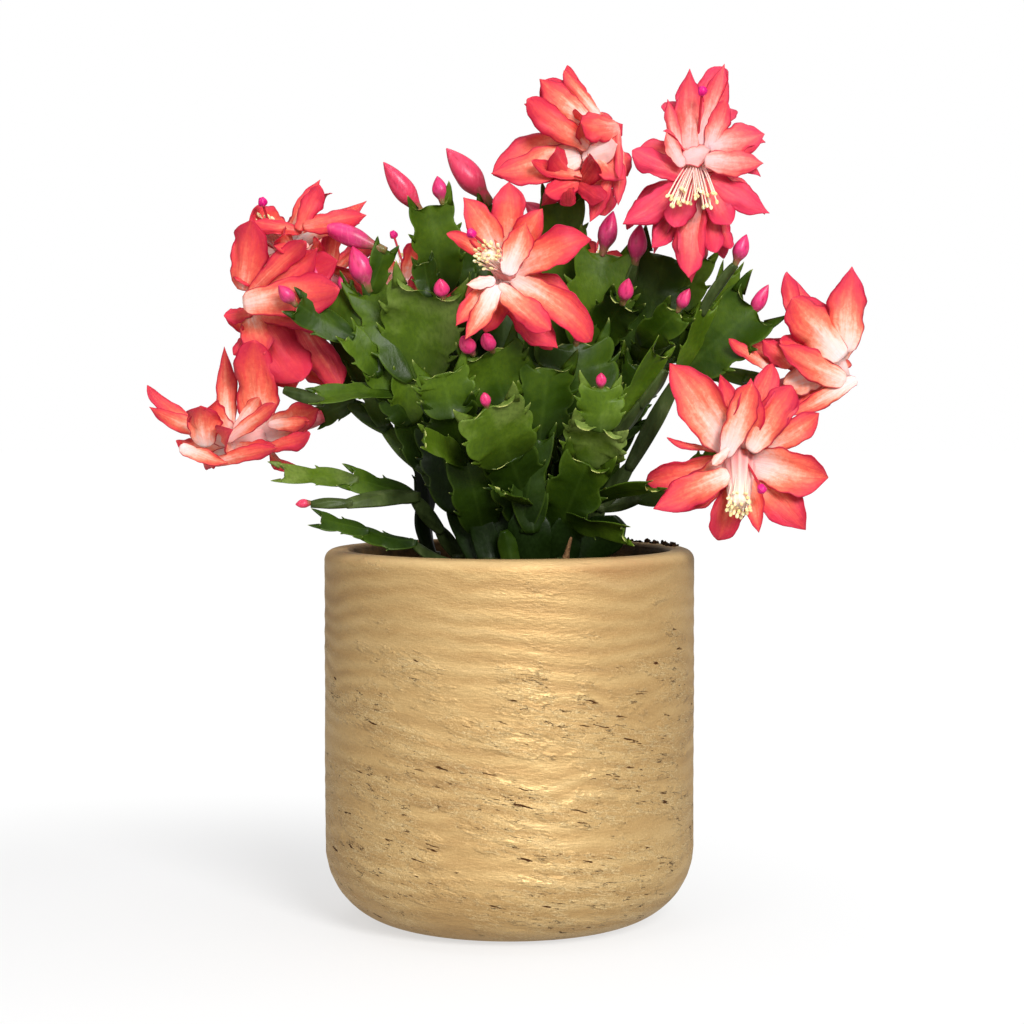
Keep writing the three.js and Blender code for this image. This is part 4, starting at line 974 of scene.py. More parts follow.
def add_peg(build, foot):
    heights = np.linspace(SOIL_TOP_HEIGHT - PEG_DEPTH, SOIL_TOP_HEIGHT + PEG_TOP, PEG_ROWS)
    taper = np.linspace(PEG_TAPER, 1, PEG_ROWS)
    radii = [PEG_RADIUS * share * (0.9 + 0.2 * chance(k + foot[0])) for k, share in enumerate(taper)]
    build.tube(thread_rings([[*foot, z] for z in heights], radii, PEG_SIDES), (1, 0.5, 0.5, 0), 0.3)


def make_stem(name, foot, grows, facing, material):
    build = Build("finished_" + name)
    add_peg(build, foot)
    count = 0

    def grow(start, segment, on_stalk=False):
        nonlocal count
        end, width, turn, kids, tone = segment
        count += 1
        seed = len(name) * NAME_SEED + count
        stalk = start[2] < STALK_BELOW and width >= PLAIN_BELOW
        if tone is None:
            tone = 0.05 if stalk else 0.12 + 0.5 * chance(seed + 0.9)
        add_segment(build, vec(start), vec(end), width, turn, facing, seed, tone, on_stalk)
        for kid in kids:
            grow(end, kid, stalk and kid[1] >= ONE_TOOTH_BELOW - 2)

    grow([*foot, SOIL_TOP_HEIGHT + COLLAR], grows)
    for start, segment in EXTRA_SEGMENTS.get(name, ()):
        grow(start, segment)
    build.finish(material, [name])


# Stems on the far side grow by rule: they fork twice and arch over as they go out.
BACK_AZIMUTHS = [42, 77, 112, 149]
BACK_FOOT_RADIUS = 35


def arm(start, azimuth, elevation, length):
    """The end of an arm that leaves start at these angles, in degrees."""
    a, e = math.radians(azimuth), math.radians(elevation)
    flat = length * math.cos(e)
    return [start[0] + flat * math.cos(a), start[1] + flat * math.sin(a), start[2] + length * math.sin(e)]


def back_stem(azimuth, order):
    def draw(k):
        return chance(order * 17 + k)

    foot = arm([0, 0, 0], azimuth, 0, BACK_FOOT_RADIUS)[:2]
    low = arm([*foot, SOIL_TOP_HEIGHT], azimuth, 82, 26 + 4 * draw(1))
    crown = arm(low, azimuth, 76, 27 + 4 * draw(2))
    fork = []
    for k, side in enumerate((-1, 1)):
        heading = azimuth + side * (20 + 8 * draw(3 + k))
        middle = arm(crown, heading, 64 - 10 * draw(5 + k), 24 + 5 * draw(7 + k))
        tips = []
        for m, turn_to in enumerate((-1, 1)):
            rise = 44 + 26 * turn_to * side
            tip = arm(middle, heading + turn_to * 24 - side * 6, rise, 25 + 5 * draw(9 + k * 2 + m))
            tips.append(seg(tip, 17 + 5 * draw(14 + k * 2 + m), 20 * turn_to))
        fork.append(seg(middle, 17, 10 * side, tips))
    hub = arm(crown, azimuth + 180, 52, 26)
    fork.append(seg(hub, 16, 0, [seg(arm(hub, azimuth + 165, 68, 24), 20, 10, (), 0.15)], 0.1))
    return foot, seg(low, 12, 0, [seg(crown, 16, 0, fork)])


# Petals: a bent blade from its ring on the tube to its tip
PETAL_ROWS = 26
PETAL_ACROSS = np.sin(np.radians(np.linspace(-90, 90, 13)))
POINTED_SHAPE = [(0, 0.3), (0.03, 0.52), (0.1, 0.68), (0.28, 0.88), (0.46, 1.0), (0.62, 0.98),
                 (0.76, 0.8), (0.87, 0.5), (0.95, 0.18), (1, 0.02)]
BLUNT_SHAPE = [(0, 0.3), (0.03, 0.5), (0.1, 0.62), (0.3, 0.84), (0.5, 0.97), (0.66, 1.0), (0.8, 0.9),
               (0.9, 0.66), (0.96, 0.38), (1, 0.06)]
BLUNT_FROM = 0.62
PETAL_THICKNESS = 0.6
EXTRA_SEED = 500
SKEW, FOLD_OVER, CREASE, MIDRIB = 0.22, 0.5, 0.1, 0.2
CURL_FROM = 0.6
DEEPEST_START = 0.6


def add_petal(build, root, tip, axis, radial, blade, seed):
    chord = tip - root
    reach = np.linalg.norm(chord)
    middle = root + chord * 0.5 + axis * blade["lift"] * reach
    side = unit(np.cross(chord, FRONT) if blade["to_front"] else np.cross(axis, radial))
    side = turned_about(side, unit(chord), blade["turn"])
    t = np.linspace(0, 1, PETAL_ROWS)
    centre = bezier(root, middle, tip, t)
    along = bezier_slope(root, middle, tip, t)
    sides = units(side - along * (along @ side)[:, None])
    normal = np.cross(sides, along)
    u, v = t[:, None], PETAL_ACROSS[None, :]
    belly = np.sin(math.pi * u)
    # Width: no petal is quite even
    shape = curve_through(BLUNT_SHAPE if chance(seed + 0.35) > BLUNT_FROM else POINTED_SHAPE,
                          t ** (0.82 + 0.4 * chance(seed + 0.15)))
    half = blade["width"] / 2 * np.maximum(0.02, shape)[:, None]
    skew = SKEW * (chance(seed + 0.2) - 0.5) * belly
    wobble = (1 + 0.08 * np.sin(8 * u + 6 * chance(seed + 0.3) + v * 2)
              + 0.06 * np.sin(19 * u + seed - 3 * v) + 0.03 * np.sin(37 * u + seed * 2 + 5 * v))
    x = (v + skew * (1 - v ** 2)) * half * wobble
    # Depth: folded along the middle, cupped, ruffled at the edge and curled at the tip
    beside = np.maximum(0, np.abs(v + skew) - 0.1)
    fold = FOLD_OVER * (chance(seed + 0.9) - 0.35) * half * beside * belly ** 0.7
    cup = -(0.12 + 0.3 * chance(seed + 0.1)) * half * v ** 2 * np.minimum(1, u * 3)
    swing = np.sin(FULL_TURN * (1.7 * u + chance(seed)) + v)
    ruffle = (0.08 + 0.1 * chance(seed + 0.5)) * half * swing * v ** 2
    crease = CREASE * half * np.sin(9 * v + 4 * u + seed) * belly ** 2
    groove = MIDRIB * np.exp(-(v / 0.14) ** 2) * (1 - u)
    beyond = np.maximum(0, (u - CURL_FROM) / (1 - CURL_FROM))
    curl = (0.04 + 0.14 * chance(seed + 0.8)) * reach * beyond ** 2
    z = cup + ruffle + crease + groove + curl - fold
    thick = PETAL_THICKNESS / 2 * (0.45 + 0.55 * (1 - v ** 2)) * (1.3 - 0.6 * u) * (np.abs(v) < AT_EDGE)
    # Depth of the red beyond 1; from 0.5 on the material turns it into painted shade.
    redness_and_shade = max(0.0, blade["depth"] - 1)
    colour_from = min(DEEPEST_START, redness_and_shade * 1.4)
    colour_along = (colour_from + (1 - colour_from) * u) * min(1.0, blade["depth"])
    build.blade(centre[:, None] + x[..., None] * sides[:, None], z, thick, normal[:, None],
                (redness_and_shade, (v + 1) / 2, colour_along, 0), chance(seed + 0.6))


# Blooms: a ribbed tube, open at the mouth, with its whorls
MOUTH_RADIUS = 4.3
TUBE_SHAPE = [(0, 2.6), (0.14, 3.1), (0.34, 2.5), (0.7, 3.4), (1, MOUTH_RADIUS)]
TUBE_INSIDE = [(0.4, 3.9, 1.0), (2.0, 3.3, 0.6), (4.5, 2.5, 0.3), (7.0, 1.6, 0.1)]
TUBE_ROWS = 18
TUBE_SIDES = 30
TUBE_RIBS = 10
INNER_RING = 0.93
INNER_RING_RADIUS = 2.76
OUTER_RING_RADIUS = 1.8


def add_tube(build, foot, throat):
    axis = unit(throat - foot)
    t = np.linspace(0, 1, TUBE_ROWS)
    ribs = 1 + 0.05 * np.cos(turn_of(TUBE_SIDES) * TUBE_RIBS)
    centres = [foot + (throat - foot) * k for k in t]
    centres += [throat - axis * depth for depth, _, _ in TUBE_INSIDE]
    radii = [r * ribs for r in [*curve_through(TUBE_SHAPE, t), *(r for _, r, _ in TUBE_INSIDE)]]
    along = np.array([*t, *(place for _, _, place in TUBE_INSIDE)])[:, None]
    build.tube(thread_rings(centres, radii, TUBE_SIDES, axis=axis), (0, 0.6, along, 1), 0.5)


def make_bloom(name, plan, material):
    foot, throat = vec(plan["foot"]), vec(plan["throat"])
    axis = unit(throat - foot)
    seed = len(name) * NAME_SEED
    build = Build("finished_" + name)
    add_tube(build, foot, throat)
    for k, blade in enumerate(plan["petals"]):
        ring, radius = plan["ring"], OUTER_RING_RADIUS
        if blade["whorl"] == INNER:
            ring, radius = INNER_RING, INNER_RING_RADIUS
        centre = foot + (throat - foot) * ring
        tip = vec(blade["tip"])
        radial = square_to(tip - centre, axis)
        add_petal(build, centre + radial * radius, tip, axis, radial, blade, seed + k)
    for k, (root, tip, width, depth, turn) in enumerate(EXTRA_PETALS.get(name, ())):
        blade = front(tip, width, turn=turn, depth=depth)
        add_petal(build, vec(root), vec(tip), FRONT, FRONT, blade, EXTRA_SEED + seed + k)
    build.finish(material, [name])


# Stamens: filaments that part at their tips, most of them out of one ribbed column
FILAMENTS = 34
FILAMENT_RADIUS = 0.27
FILAMENT_ROWS = 10
FILAMENT_SIDES = 6
FILAMENT_SPREAD = 5.0
COLUMN_RADIUS = 3.8
COLUMN_GROOVES = 12
COLUMN_SIDES = 36
COLUMN_ROWS = 16
WIDE_COLUMN = {"bloom_lower_right": 1.5}
LOOSE_PARTING = 5.0
LOOSE_STAMENS = ("bloom_top_right", "bloom_back_2")
GOLDEN_ANGLE = 2.39996
ARCH = 2.0
BASE_SHIFT = 1.2
BASE = [(-1.5, 2.4), (0, 2.6), (1.4, 2.0)]
BASE_SIDES = 14
BASE_RING, LOOSE_RING = 2.6, 2.0
ANTHER_RADIUS, ANTHER_REACH, ANTHER_SIDES = 0.7, 1.1, 7


def throat_frame(plan):
    throat = vec(plan["throat"])
    axis = unit(throat - vec(plan["foot"]))
    target = vec(plan["pistil"][0])
    lean = square_to(target - throat, axis)
    return throat, axis, target, lean, np.cross(axis, lean)


def make_stamens(name, plan, material):
    throat, axis, target, lean, third = throat_frame(plan)
    seat = throat + axis * GAP + lean * BASE_SHIFT
    build = Build(f"finished_{name}_stamens")
    heights, radii = zip(*BASE)
    build.tube(thread_rings([seat + axis * height for height in heights], radii, BASE_SIDES))
    loose = name in LOOSE_STAMENS
    if not loose:
        add_column(build, throat - axis * 3, target, axis, COLUMN_RADIUS * WIDE_COLUMN.get(name, 1.0))
    for k in range(FILAMENTS):
        angle = k * GOLDEN_ANGLE
        spread = math.sqrt((k + 0.5) / FILAMENTS)
        spoke = lean * math.cos(angle) + third * math.sin(angle)
        root = seat + axis * 0.7 + spoke * spread * (LOOSE_RING if loose else BASE_RING)
        reach = FILAMENT_SPREAD * (0.9 if loose else 1.0)
        end = target + spoke * spread * reach + axis * (6 * chance(k + 0.5) - 3)
        if loose:
            end += third * (LOOSE_PARTING if k % 2 else -LOOSE_PARTING)
        line = arched(root, end, axis * ARCH, FILAMENT_ROWS)
        along = np.linspace(0, 1, FILAMENT_ROWS)[:, None]
        rings = thread_rings(line, [FILAMENT_RADIUS] * FILAMENT_ROWS, FILAMENT_SIDES)
        build.tube(rings, (0, 0, along, 0), chance(k + 0.1))
        add_anther(build, end, unit(line[-1] - line[-2]), spoke, k)
    build.finish(material, [f"{name}_stamens"])


def add_column(build, start, target, axis, radius):
    """The filaments stand pressed together in a ribbed column, wide at the mouth."""
    t = np.linspace(0, 1, COLUMN_ROWS)
    groove = 0.5 - 0.5 * np.cos(COLUMN_GROOVES * turn_of(COLUMN_SIDES))
    radii = [radius * (1.12 - 0.5 * s) * (1 - 0.16 * groove) for s in t]
    rings = thread_rings(arched(start, target, axis * ARCH, COLUMN_ROWS), radii, COLUMN_SIDES)
    build.tube(rings, (0, groove, t[:, None], 0), 0.5)


def add_anther(build, place, along, spoke, k):
    way = unit(along + spoke * (chance(k + 0.2) - 0.3))
    t = np.linspace(-1, 1, 7)
    radii = [ANTHER_RADIUS * math.sqrt(max(0.02, 1 - s * s)) * (1 + 0.12 * math.sin(9 * s + k))
             for s in t]
    rings = thread_rings([place + way * s * ANTHER_REACH for s in t], radii, ANTHER_SIDES, squash=0.75)
    build.tube(rings, (1, 0, 0, 0), chance(k + 0.7))


# Styles: a thread with a lobed knob
STYLE_OFFSET = -2.6
STYLE_RADIUS = 0.5
STYLE_SUNK = 2.0
STYLE_ROWS, STYLE_SIDES = 14, 8
STIGMA_RADIUS, STIGMA_REACH = 1.65, 2.0
STIGMA_SIDES = 20
STIGMA_LOBES = 5


def make_style(name, plan, material):
    throat, axis, _, lean, _ = throat_frame(plan)
    stigma = vec(plan["pistil"][1])
    root = throat + axis * (GAP - STYLE_SUNK) + lean * STYLE_OFFSET
    build = Build(f"finished_{name}_style")
    line = arched(root, stigma, axis * (ARCH + STYLE_SUNK / 2), STYLE_ROWS)
    along = np.linspace(0, 1, STYLE_ROWS)[:, None]
    build.tube(thread_rings(line, [STYLE_RADIUS] * STYLE_ROWS, STYLE_SIDES), (0, 0, along, 0))
    way = unit(line[-1] - line[-2])
    lobes = 1 + 0.14 * np.cos(turn_of(STIGMA_SIDES) * STIGMA_LOBES)
    t = np.linspace(-1, 1, 9)
    radii = [STIGMA_RADIUS * math.sqrt(max(0.03, 1 - s * s)) * lobes for s in t]
    knob = thread_rings([stigma + way * (s * STIGMA_REACH + 0.4) for s in t], radii, STIGMA_SIDES)
    build.tube(knob, (1, 0, 0, 0))
    build.finish(material, [f"{name}_style"])


# Buds: petals wrapped round each other leave furrows that wind up to the tip
BUD_SHAPE = [(-0.06, 0.34), (0.06, 0.42), (0.14, 0.46), (0.24, 0.68), (0.36, 0.93), (0.46, 1.0),
             (0.6, 0.94), (0.76, 0.7), (0.9, 0.36), (1, 0.05)]
SMALL_BUD_SHAPE = [(-0.2, 0.3), (0.1, 0.62), (0.45, 1.0), (0.75, 0.8), (1, 0.14)]
BUD_ROWS = 22
BUD_SIDES = 24
SMALLEST_RADIUS = 0.03


def add_bud(build, bud, shape, seed):
    """A bud's plan is its base, tip and width, and "red" for one that is nearer red than pink."""
    base, tip, width, *red = bud
    base, tip = vec(base), vec(tip)
    t = np.linspace(shape[0][0], 1, BUD_ROWS)
    sag = np.cross(unit(tip - base), SIDEWAYS) * 0.03 * width
    centres, radii, furrows = [], [], []
    for s, r in zip(t, curve_through(shape, t)):
        centres.append(base + (tip - base) * s + sag * math.sin(math.pi * max(0, s)))
        furrow = 1 - np.abs(np.sin(1.5 * turn_of(BUD_SIDES) + 2.2 * s + seed)) ** 0.6
        furrows.append(furrow * min(1.0, max(0.0, (s - 0.2) * 3)))
        radii.append(max(SMALLEST_RADIUS, r) * width / 2 * (1 - 0.14 * furrows[-1]))
    rings = thread_rings(centres, radii, BUD_SIDES)
    build.tube(rings, (0, np.array(furrows), np.clip(t, 0, 1)[:, None], 0), len(red))


def make_bud(name, bud, material):
    build = Build("finished_" + name)
    add_bud(build, bud, BUD_SHAPE, len(name) + bud[2])
    build.finish(material, [name])


# Materials
def leaf_material():
    """Form: age, nearness to the edge, place along the segment, pale tips."""
    m = Shader("leaf", Specular_IOR_Level=0.15)
    age, edge, along, pale, tone = m.form()
    patch = m.noise(70, 3)
    grain = m.noise(900, 2, stretch=(1, 1, 0.6))
    outward = m.add("ShaderNodeVectorMath", {0: m.place((1, 1, 0))}, "Value", operation="LENGTH")
    # Painted shade: leaves low down and near the middle of the pot are darkened, as the shade under the
    # plant would darken them.
    low = m.span(m.part(m.place(), 2), 0.145, 0.21, 0.36, 0) * m.span(outward, 0.035, 0.065, 1, 0)
    depth = tone * 0.75 + m.span(patch, 0.3, 0.7) * 0.25 - low
    green = m.layers(
        m.ramp(depth, {0: (18, 34, 2), 0.3: (43, 65, 4), 0.6: (79, 103, 19), 1: (140, 156, 84)}),
        # Painted shade: each segment darkens towards its narrow base, where it sits in the plant.
        (m.span(along, 0, 0.5, 0.65, 0), (20, 36, 4)),
        (m.span(edge, 0.86, 1, 0, 0.3), (104, 132, 44)),
        (m.span(edge, 0, 0.12, 0.09, 0), (100, 128, 48)),
        (m.span(grain, 0.35, 0.75, 0, 0.3), (40, 62, 20)))
    brown = m.ramp(m.noise(160, 4, stretch=(1, 1, 0.35)),
                   {0.3: (32, 40, 16), 0.6: (66, 78, 42), 0.85: (112, 120, 80)})
    tips = m.ramp(pale, {0: (130, 155, 70), 0.6: (196, 196, 118), 1: (196, 158, 112)})
    # The dark layer by height is painted shade.
    m.set("Base Color", m.layers(green, (m.span(age, 0, 1), brown), (low, (12, 22, 5)),
                                 (m.span(pale, 0.15, 0.7), tips)))
    m.set("Roughness", m.span(patch, 0.2, 0.8, 0.34, 0.5))
    m.bump(grain * 0.16 + patch, 0.4, 0.0016)
    return m.material


def petal_material():
    """Form: depth of the red, whose deepest part is painted shade, place across the petal, place along
    it, tube.
    """
    m = Shader("petal", Specular_IOR_Level=0.22, Subsurface_Weight=0.3, Subsurface_Scale=0.0012,
               Subsurface_Radius=(1, 0.4, 0.35))
    redness_and_shade, across, along, tube, tone = m.form()
    edge = abs(across * 2.0 - 1)
    streak = m.noise(1, 3, vector=m.join(across * 9.0, along * 2.4, tone * 60.0))
    vein = m.noise(1, 2, vector=m.join(across * 46.0, along * 3.0, tone * 90.0))
    mottle = m.noise(620, 3, 0.65)
    depth = along * 0.8 + edge ** 1.5 * m.span(along, 0, 0.55, 0.16, 0.4)
    depth = depth + m.span(mottle, 0.3, 0.7, -0.05, 0.05) + m.span(streak, 0.25, 0.75, -0.07, 0.09)
    depth = depth + m.span(tone, 0, 1, -0.06, 0.14)
    colour = m.ramp(depth, {0: (240, 212, 210), 0.22: (244, 200, 188), 0.38: (246, 164, 140),
                            0.52: (238, 119, 91), 0.7: (226, 82, 72), 0.86: (215, 63, 72),
                            1: (200, 45, 68)})
    cloud = m.span(m.noise(150, 3) + streak * 0.5, 0.55, 0.95, 0.35, 1)
    # The bloom at the top right is nearer pink than the others
    here = m.place()
    pink = m.span(m.part(here, 0), 0.028, 0.05) * m.span(m.part(here, 2), 0.228, 0.244)
    throat = m.ramp(along * 0.8 + m.noise(420, 2) * 0.3,
                    {0.1: (204, 70, 84), 0.45: (232, 158, 156), 0.9: (240, 200, 194)})
    m.set("Base Color", m.layers(
        colour, (m.span(vein, 0.5, 0.8, 0, 0.3), (214, 56, 80)),
        (m.span(redness_and_shade, 0, 0.5, 0, 0.75) * cloud, (208, 40, 70)),
        # Painted shade: petals with a depth above 1.5 are darkened towards a shaded dark red.
        (m.span(redness_and_shade, 0.5, 0.9, 0, 1) * cloud, (120, 22, 28)), (pink * 0.3, (220, 62, 108)),
        (m.span(edge, 0.86, 0.96) * 0.85, (176, 12, 54)), (tube, throat)))
    m.set("Roughness", m.span(streak, 0.2, 0.8, 0.42, 0.58))
    m.bump(vein * 0.7 + mottle * 0.6 + streak * 1.2, 0.4, 0.0005)
    return m.material


def bud_material():
    """Form: unused, furrow, place along the bud, unused. The tone is 1 for a red bud."""
    m = Shader("bud", Specular_IOR_Level=0.4, Subsurface_Weight=0.2, Subsurface_Scale=0.001,
               Subsurface_Radius=(1, 0.4, 0.4))
    _, furrow, along, _, tone = m.form()
    patch = m.noise(260, 3)
    depth = along + m.span(patch, 0.3, 0.7, -0.1, 0.1)
    colour = m.ramp(depth, {0: (104, 92, 44), 0.14: (134, 84, 60), 0.3: (182, 52, 96),
                            0.55: (216, 50, 114), 0.85: (222, 50, 108), 1: (196, 26, 92)})
    red = m.mix(m.span(depth, 0.08, 0.3, 0.1, 0.72), colour, (218, 60, 84))
    streak = m.noise(900, 2, stretch=(1, 1, 0.3))
    m.set("Base Color", m.layers(colour, (m.span(tone, 0.45, 0.55), red),
                                 (m.span(furrow, 0.4, 0.95, 0, 0.75), (168, 20, 62)),
                                 (m.span(streak, 0.5, 0.8, 0, 0.35), (240, 130, 150))))
    m.set("Roughness", m.span(patch, 0.2, 0.8, 0.3, 0.45))
    m.bump(m.noise(1200, 2), 0.2, 0.0002)
    return m.material


def stamen_material():
    """Form: anther, groove, place along the thread, unused."""
    m = Shader("stamen", Specular_IOR_Level=0.25, Roughness=0.6, Subsurface_Weight=0.2,
               Subsurface_Scale=0.0006)
    anther, groove, along, _, tone = m.form()
    grain = m.noise(2600, 2)
    thread = m.ramp(along, {0: (238, 172, 166), 0.6: (244, 204, 192), 1: (248, 226, 204)})
    thread = m.mix(groove * m.span(along, 0.1, 0.9, 0.75, 0.2), thread, (222, 112, 118))
    cream = m.ramp(grain + m.span(tone, 0, 1, -0.15, 0.15),
                   {0.3: (226, 200, 140), 0.55: (246, 232, 178), 0.8: (252, 246, 214)})
    m.set("Base Color", m.mix(anther, thread, cream))
    m.bump(grain, 0.5, 0.0003)
    return m.material


def style_material():
    """Form: stigma, unused, place along the style, unused."""
    m = Shader("style", Specular_IOR_Level=0.4, Roughness=0.4)
    stigma, _, along, _, _ = m.form()
    thread = m.ramp(along, {0: (196, 60, 70), 1: (186, 20, 50)})
    knob = m.ramp(m.noise(1800, 2), {0.35: (200, 0, 98), 0.7: (238, 20, 138)})
    m.set("Base Color", m.mix(stigma, thread, knob))
    m.bump(m.noise(2400, 2), 0.4, 0.0003)
    return m.material


POT_METALLIC = 0.3


def pot_material():
    """Form: unused, inside, worn rim edge with its painted highlight, reddish rim patch."""
    m = Shader("gold_concrete", Metallic=POT_METALLIC, Specular_IOR_Level=0.2)
    _, inside, rim, red, _ = m.form()
    # Ripples, in patches, under two softer noises
    drift = m.noise(22, 2, vector=m.slanted(POT_SLANT, 1.2))
    phase = (m.part(m.slanted(POT_SLANT, 1), 2) + drift * 0.02) * (FULL_TURN / (RIPPLE_HEIGHT * MM))
    strong = m.span(m.noise(20, 2, vector=m.slanted(POT_SLANT, 1.6)), 0.38, 0.62, 0.12, 0.42)
    wave = m.sum("SINE", phase) * strong + 0.5
    band = m.mix(0.5, wave, m.noise(36, 3, vector=m.slanted(POT_SLANT, 4.2)))
    cloud = m.noise(15, 2, vector=m.slanted(POT_SLANT, 1.2))
    grain = m.noise(1700, 3, 0.7)
    streak = m.noise(260, 4, 0.6, vector=m.slanted(POT_SLANT, 3.4))
    # Thin broken cracks that follow the contours of a noise, in loose groups, and pits near them
    field = m.noise(84, 5, 0.6, vector=m.slanted(CRACK_SLANT, 6.0), distortion=0.2)
    # Fewer cracks towards the top; the colour is also darkened there, which is painted shade.
    top = m.span(m.part(m.place(), 2), 0.09, 0.118, 0, 0.16)
    group = m.noise(34, 4, 0.62, vector=m.slanted(CRACK_SLANT, 2.2)) - top
    flaked = m.span(group, 0.42, 0.53)
    broken = flaked * m.span(m.noise(150, 3, vector=m.slanted(CRACK_SLANT, 2.0)), 0.57, 0.61)
    crack = m.span(abs(field - 0.5), 0.008, 0.022, 1, 0) * broken
    # Partly pale flaking, partly painted highlight: a pale line just beside each crack.
    flake_and_highlight = m.span(abs(field - 0.485), 0.006, 0.02, 1, 0) * flaked
    terrace = m.span(field, 0.485, 0.51) * flaked
    pits = m.noise(88, 3, 0.55, vector=m.slanted(CRACK_SLANT, 6.5))
    pit = m.span(pits, 0.662, 0.688) * m.span(group, 0.44, 0.5)
    dark = m.sum("MAXIMUM", pit, crack * 0.85)
    coarse = m.span(group, 0.4, 0.54, 0.45, 1)
    tint = band * 0.55 + cloud * 0.45
    colour = m.ramp(tint, {0.25: (172, 137, 90), 0.45: (194, 158, 104), 0.6: (208, 174, 118),
                           0.8: (222, 190, 136)})
    dust = m.ramp(m.noise(180, 4), {0.3: (48, 34, 20), 0.7: (104, 78, 46)})
    m.set("Base Color", m.layers(
        colour, (m.span(streak, 0.5, 0.75, 0, 0.25), (168, 130, 80)),
        (m.span(grain, 0.3, 0.56, 0.5, 0) * coarse, (146, 110, 62)),
        (m.span(grain, 0.54, 0.74, 0, 0.55) * coarse, (246, 222, 172)),
        # The darkening at the top is painted shade.
        # The pale line beside the cracks is partly pale flaking, partly painted highlight.
        (flake_and_highlight * 0.45, (246, 222, 168)), (top * 0.9, (140, 102, 58)), (dark, (70, 38, 8)),
        # The pale band on the rim's edge is partly wear, partly painted highlight.
        (red * 0.5, (150, 92, 56)), (rim * 0.45, (232, 202, 146)), (inside * 0.92, dust)))
    m.set("Metallic", POT_METALLIC - m.sum("MAXIMUM", dark, inside) * POT_METALLIC)
    m.set("Roughness", m.span(tint, 0.3, 0.7, 0.5, 0.42) + dark * 0.3)
    relief = band * 0.38 + streak * 0.5 + grain * coarse * 0.18 + terrace * 0.65 - dark * 0.5
    m.bump(relief, 0.6, 0.0012)
    return m.material


def soil_material():
    m = Shader("soil", Roughness=0.92, Specular_IOR_Level=0.2)
    *_, tone = m.form()
    grain = m.noise(700, 4)
    m.set("Base Color", m.ramp(grain * 0.6 + tone * 0.4, {0.2: (24, 17, 12), 0.45: (52, 36, 24),
                                                          0.65: (92, 62, 38), 0.9: (152, 118, 80)}))
    m.bump(grain, 0.8, 0.0012)
    return m.material


# Centre of the painted soft shadow on the floor, left of the pot, where the glow is dimmest.
SHADE_CENTRE = (-0.13, 0, 0)
FLOOR_COLOUR = (0.32, 0.32, 0.32, 1)
FLOOR_GLOW = 0.6
FLOOR_LIGHT = 0.45


def floor_material():
    """Plain and pale, and brighter away from a point left of the pot, so that no line shows at the
    background; the dimmer glow near the pot is a painted soft shadow, and the glow is painted light.
    """
    m = Shader("floor", Roughness=0.8, Specular_IOR_Level=0.1, Emission_Color=(1, 1, 1, 1))
    here = m.add("ShaderNodeTexCoord", {}, "Object")
    far = m.add("ShaderNodeVectorMath", {0: here, 1: SHADE_CENTRE}, "Value", operation="DISTANCE")
    away = m.span(far, 0.1, 0.32)
    m.set("Base Color", m.mix(away, FLOOR_COLOUR, (0, 0, 0, 1)))
    seen = m.add("ShaderNodeLightPath", {}, "Is Camera Ray")
    # The floor glows: painted light. Near the shade centre it glows less, which paints a soft shadow; to
    # other rays it glows less again and lights the pot and plant from below.
    glow = away * (1 - FLOOR_GLOW) + FLOOR_GLOW
    m.set("Emission Strength", glow * m.span(seen, 0, 1, FLOOR_LIGHT, 1))
    return m.material


# Blooms on the far side, in two whorls that spread back from the throat
BACK_RING = 0.45

# For each the stem, the arm and the tip that carry it, and how far its throat lies from there
BACK_BLOOMS = [(2, 0, 1, [8, 18, 22]), (3, 1, 0, [-8, 18, 22]), (4, 1, 1, [-22, 18, 14])]


def back_bloom(foot, throat, order):
    foot, throat = vec(foot), vec(throat)
    axis = unit(throat - foot)
    first = unit(np.cross(axis, SIDEWAYS if abs(axis[2]) > NEARLY_PARALLEL else UP))
    second = np.cross(axis, first)

    def whorl(kind, count, centre, radius, back, width, lift, start):
        blades = []
        for k in range(count):
            angle = math.radians(360 * k / count + 25 * chance(order * 5 + k) + start)
            spoke = first * math.cos(angle) + second * math.sin(angle)
            tip = centre + spoke * radius * (0.88 + 0.24 * chance(order * 9 + k)) - axis * back
            blades.append(kind(tip, width * (0.85 + 0.3 * chance(order * 13 + k)), lift))
        return blades

    ring = foot + (throat - foot) * BACK_RING
    petals = whorl(inner, count=7, centre=throat, radius=29, back=3, width=12, lift=0.2, start=0)
    petals += whorl(outer, count=5, centre=ring, radius=24, back=2, width=10, lift=0.12, start=30)
    reach = throat + axis * 20
    return bloom(foot, throat, BACK_RING, [reach - 6 * UP, reach + 5 * UP], petals)


def back_plants():
    stems, blooms = {}, {}
    for k, azimuth in enumerate(BACK_AZIMUTHS):
        foot, grows = back_stem(azimuth, k + 1)
        angle = math.radians(azimuth)
        stems[f"stem_back_{k + 1}"] = (foot, grows, unit(vec([math.cos(angle), math.sin(angle), 0.5])))
    for k, (order, side, branch, shift) in enumerate(BACK_BLOOMS):
        fork = stems[f"stem_back_{order}"][1][3][0][3]
        tip = vec(fork[side][3][branch][0])
        blooms[f"bloom_back_{k + 1}"] = back_bloom(tip, tip + shift, order)
    return stems, blooms


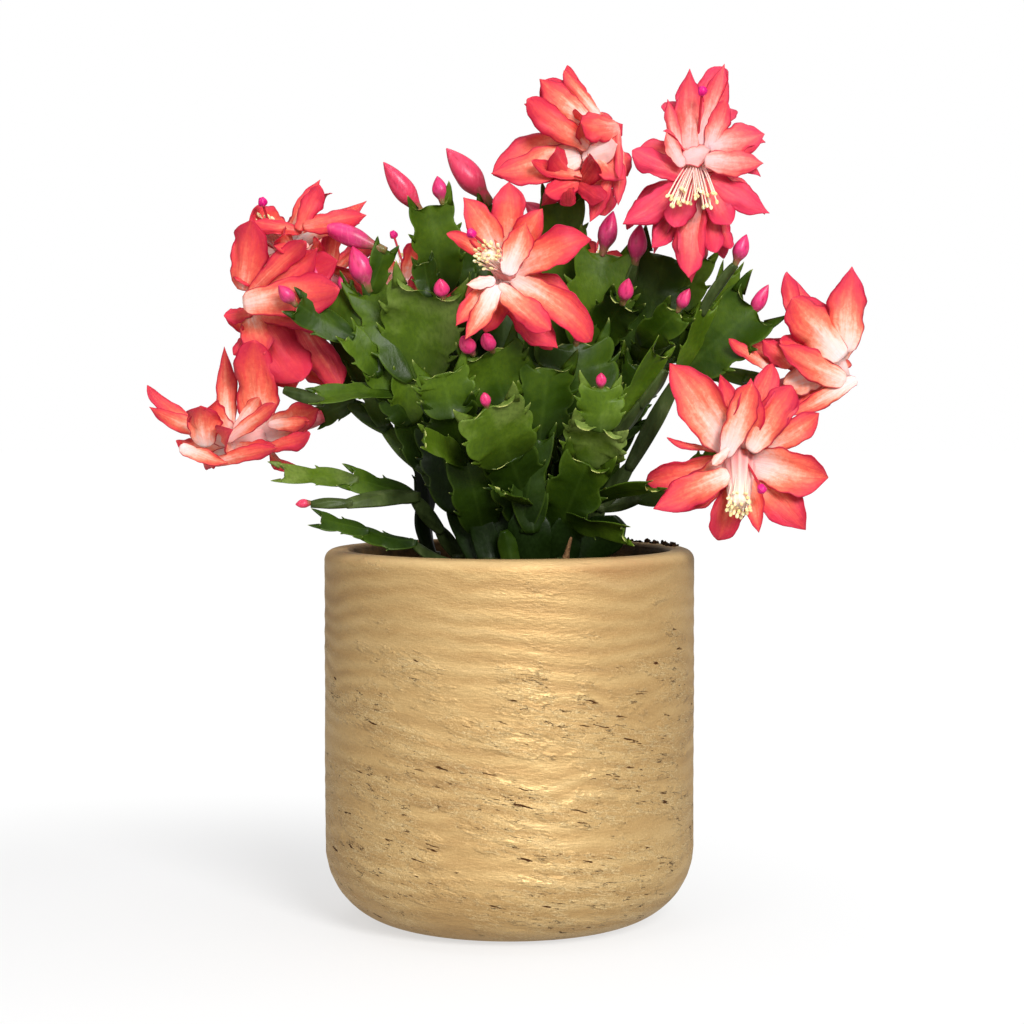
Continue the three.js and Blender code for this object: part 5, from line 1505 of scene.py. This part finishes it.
# Everything on the pot
def make_plant():
    leaf, petals, buds = leaf_material(), petal_material(), bud_material()
    stamens, styles = stamen_material(), style_material()
    back_stems, back_blooms = back_plants()
    front_stems = {name: (*stem, FRONT) for name, stem in FRONT_STEMS.items()}
    for name, (foot, grows, facing) in {**front_stems, **back_stems}.items():
        make_stem(name, foot, grows, facing, leaf)
    for name, plan in {**BLOOMS, **back_blooms}.items():
        make_bloom(name, plan, petals)
        if plan["pistil"] is not None:
            make_stamens(name, plan, stamens)
            make_style(name, plan, styles)
    for name, bud in BUDS.items():
        make_bud(name, bud, buds)
    tiny = Build("tiny_buds")
    for bud in SMALL_BUDS:
        add_bud(tiny, bud, SMALL_BUD_SHAPE, bud[2])
    tiny.finish(buds)
    make_soil(soil_material())
    make_pot(pot_material())


# Studio
FLOOR_SIZE = 14.0
WORLD_LIGHT = 0.3
AIM = (0.0, 0.0, 0.14)


def make_floor():
    bpy.ops.mesh.primitive_plane_add(size=FLOOR_SIZE, location=(0, 0, 0))
    floor = bpy.context.object
    floor.name = "floor"
    floor.data.materials.append(floor_material())


def make_light(name, place, size, power):
    data = bpy.data.lights.new(name, "AREA")
    data.shape = "DISK"
    data.size = size
    data.energy = power
    light = bpy.data.objects.new(name, data)
    light.location = place
    light.rotation_euler = (Vector(AIM) - Vector(place)).to_track_quat("-Z", "Y").to_euler()
    bpy.context.collection.objects.link(light)


def make_world():
    """The camera sees plain white, and the object gets a softer light."""
    world = bpy.data.worlds.new("studio")
    world.use_nodes = True
    tree = world.node_tree
    background = tree.nodes["Background"]
    background.inputs["Color"].default_value = (1, 1, 1, 1)
    seen = tree.nodes.new("ShaderNodeLightPath").outputs["Is Camera Ray"]
    strength = tree.nodes.new("ShaderNodeMapRange")
    strength.inputs["To Min"].default_value = WORLD_LIGHT
    tree.links.new(seen, strength.inputs["Value"])
    tree.links.new(strength.outputs[0], background.inputs["Strength"])
    bpy.context.scene.world = world
    bpy.context.scene.view_settings.view_transform = "Standard"


make_plant()
make_floor()
make_world()
make_light("key", (0.46, -1.28, 0.8), size=0.6, power=25.5)
make_light("fill", (-0.75, -1.15, 0.8), size=1.0, power=5.6)
make_light("top", (-0.1, 0.1, 1.5), size=1.2, power=6)
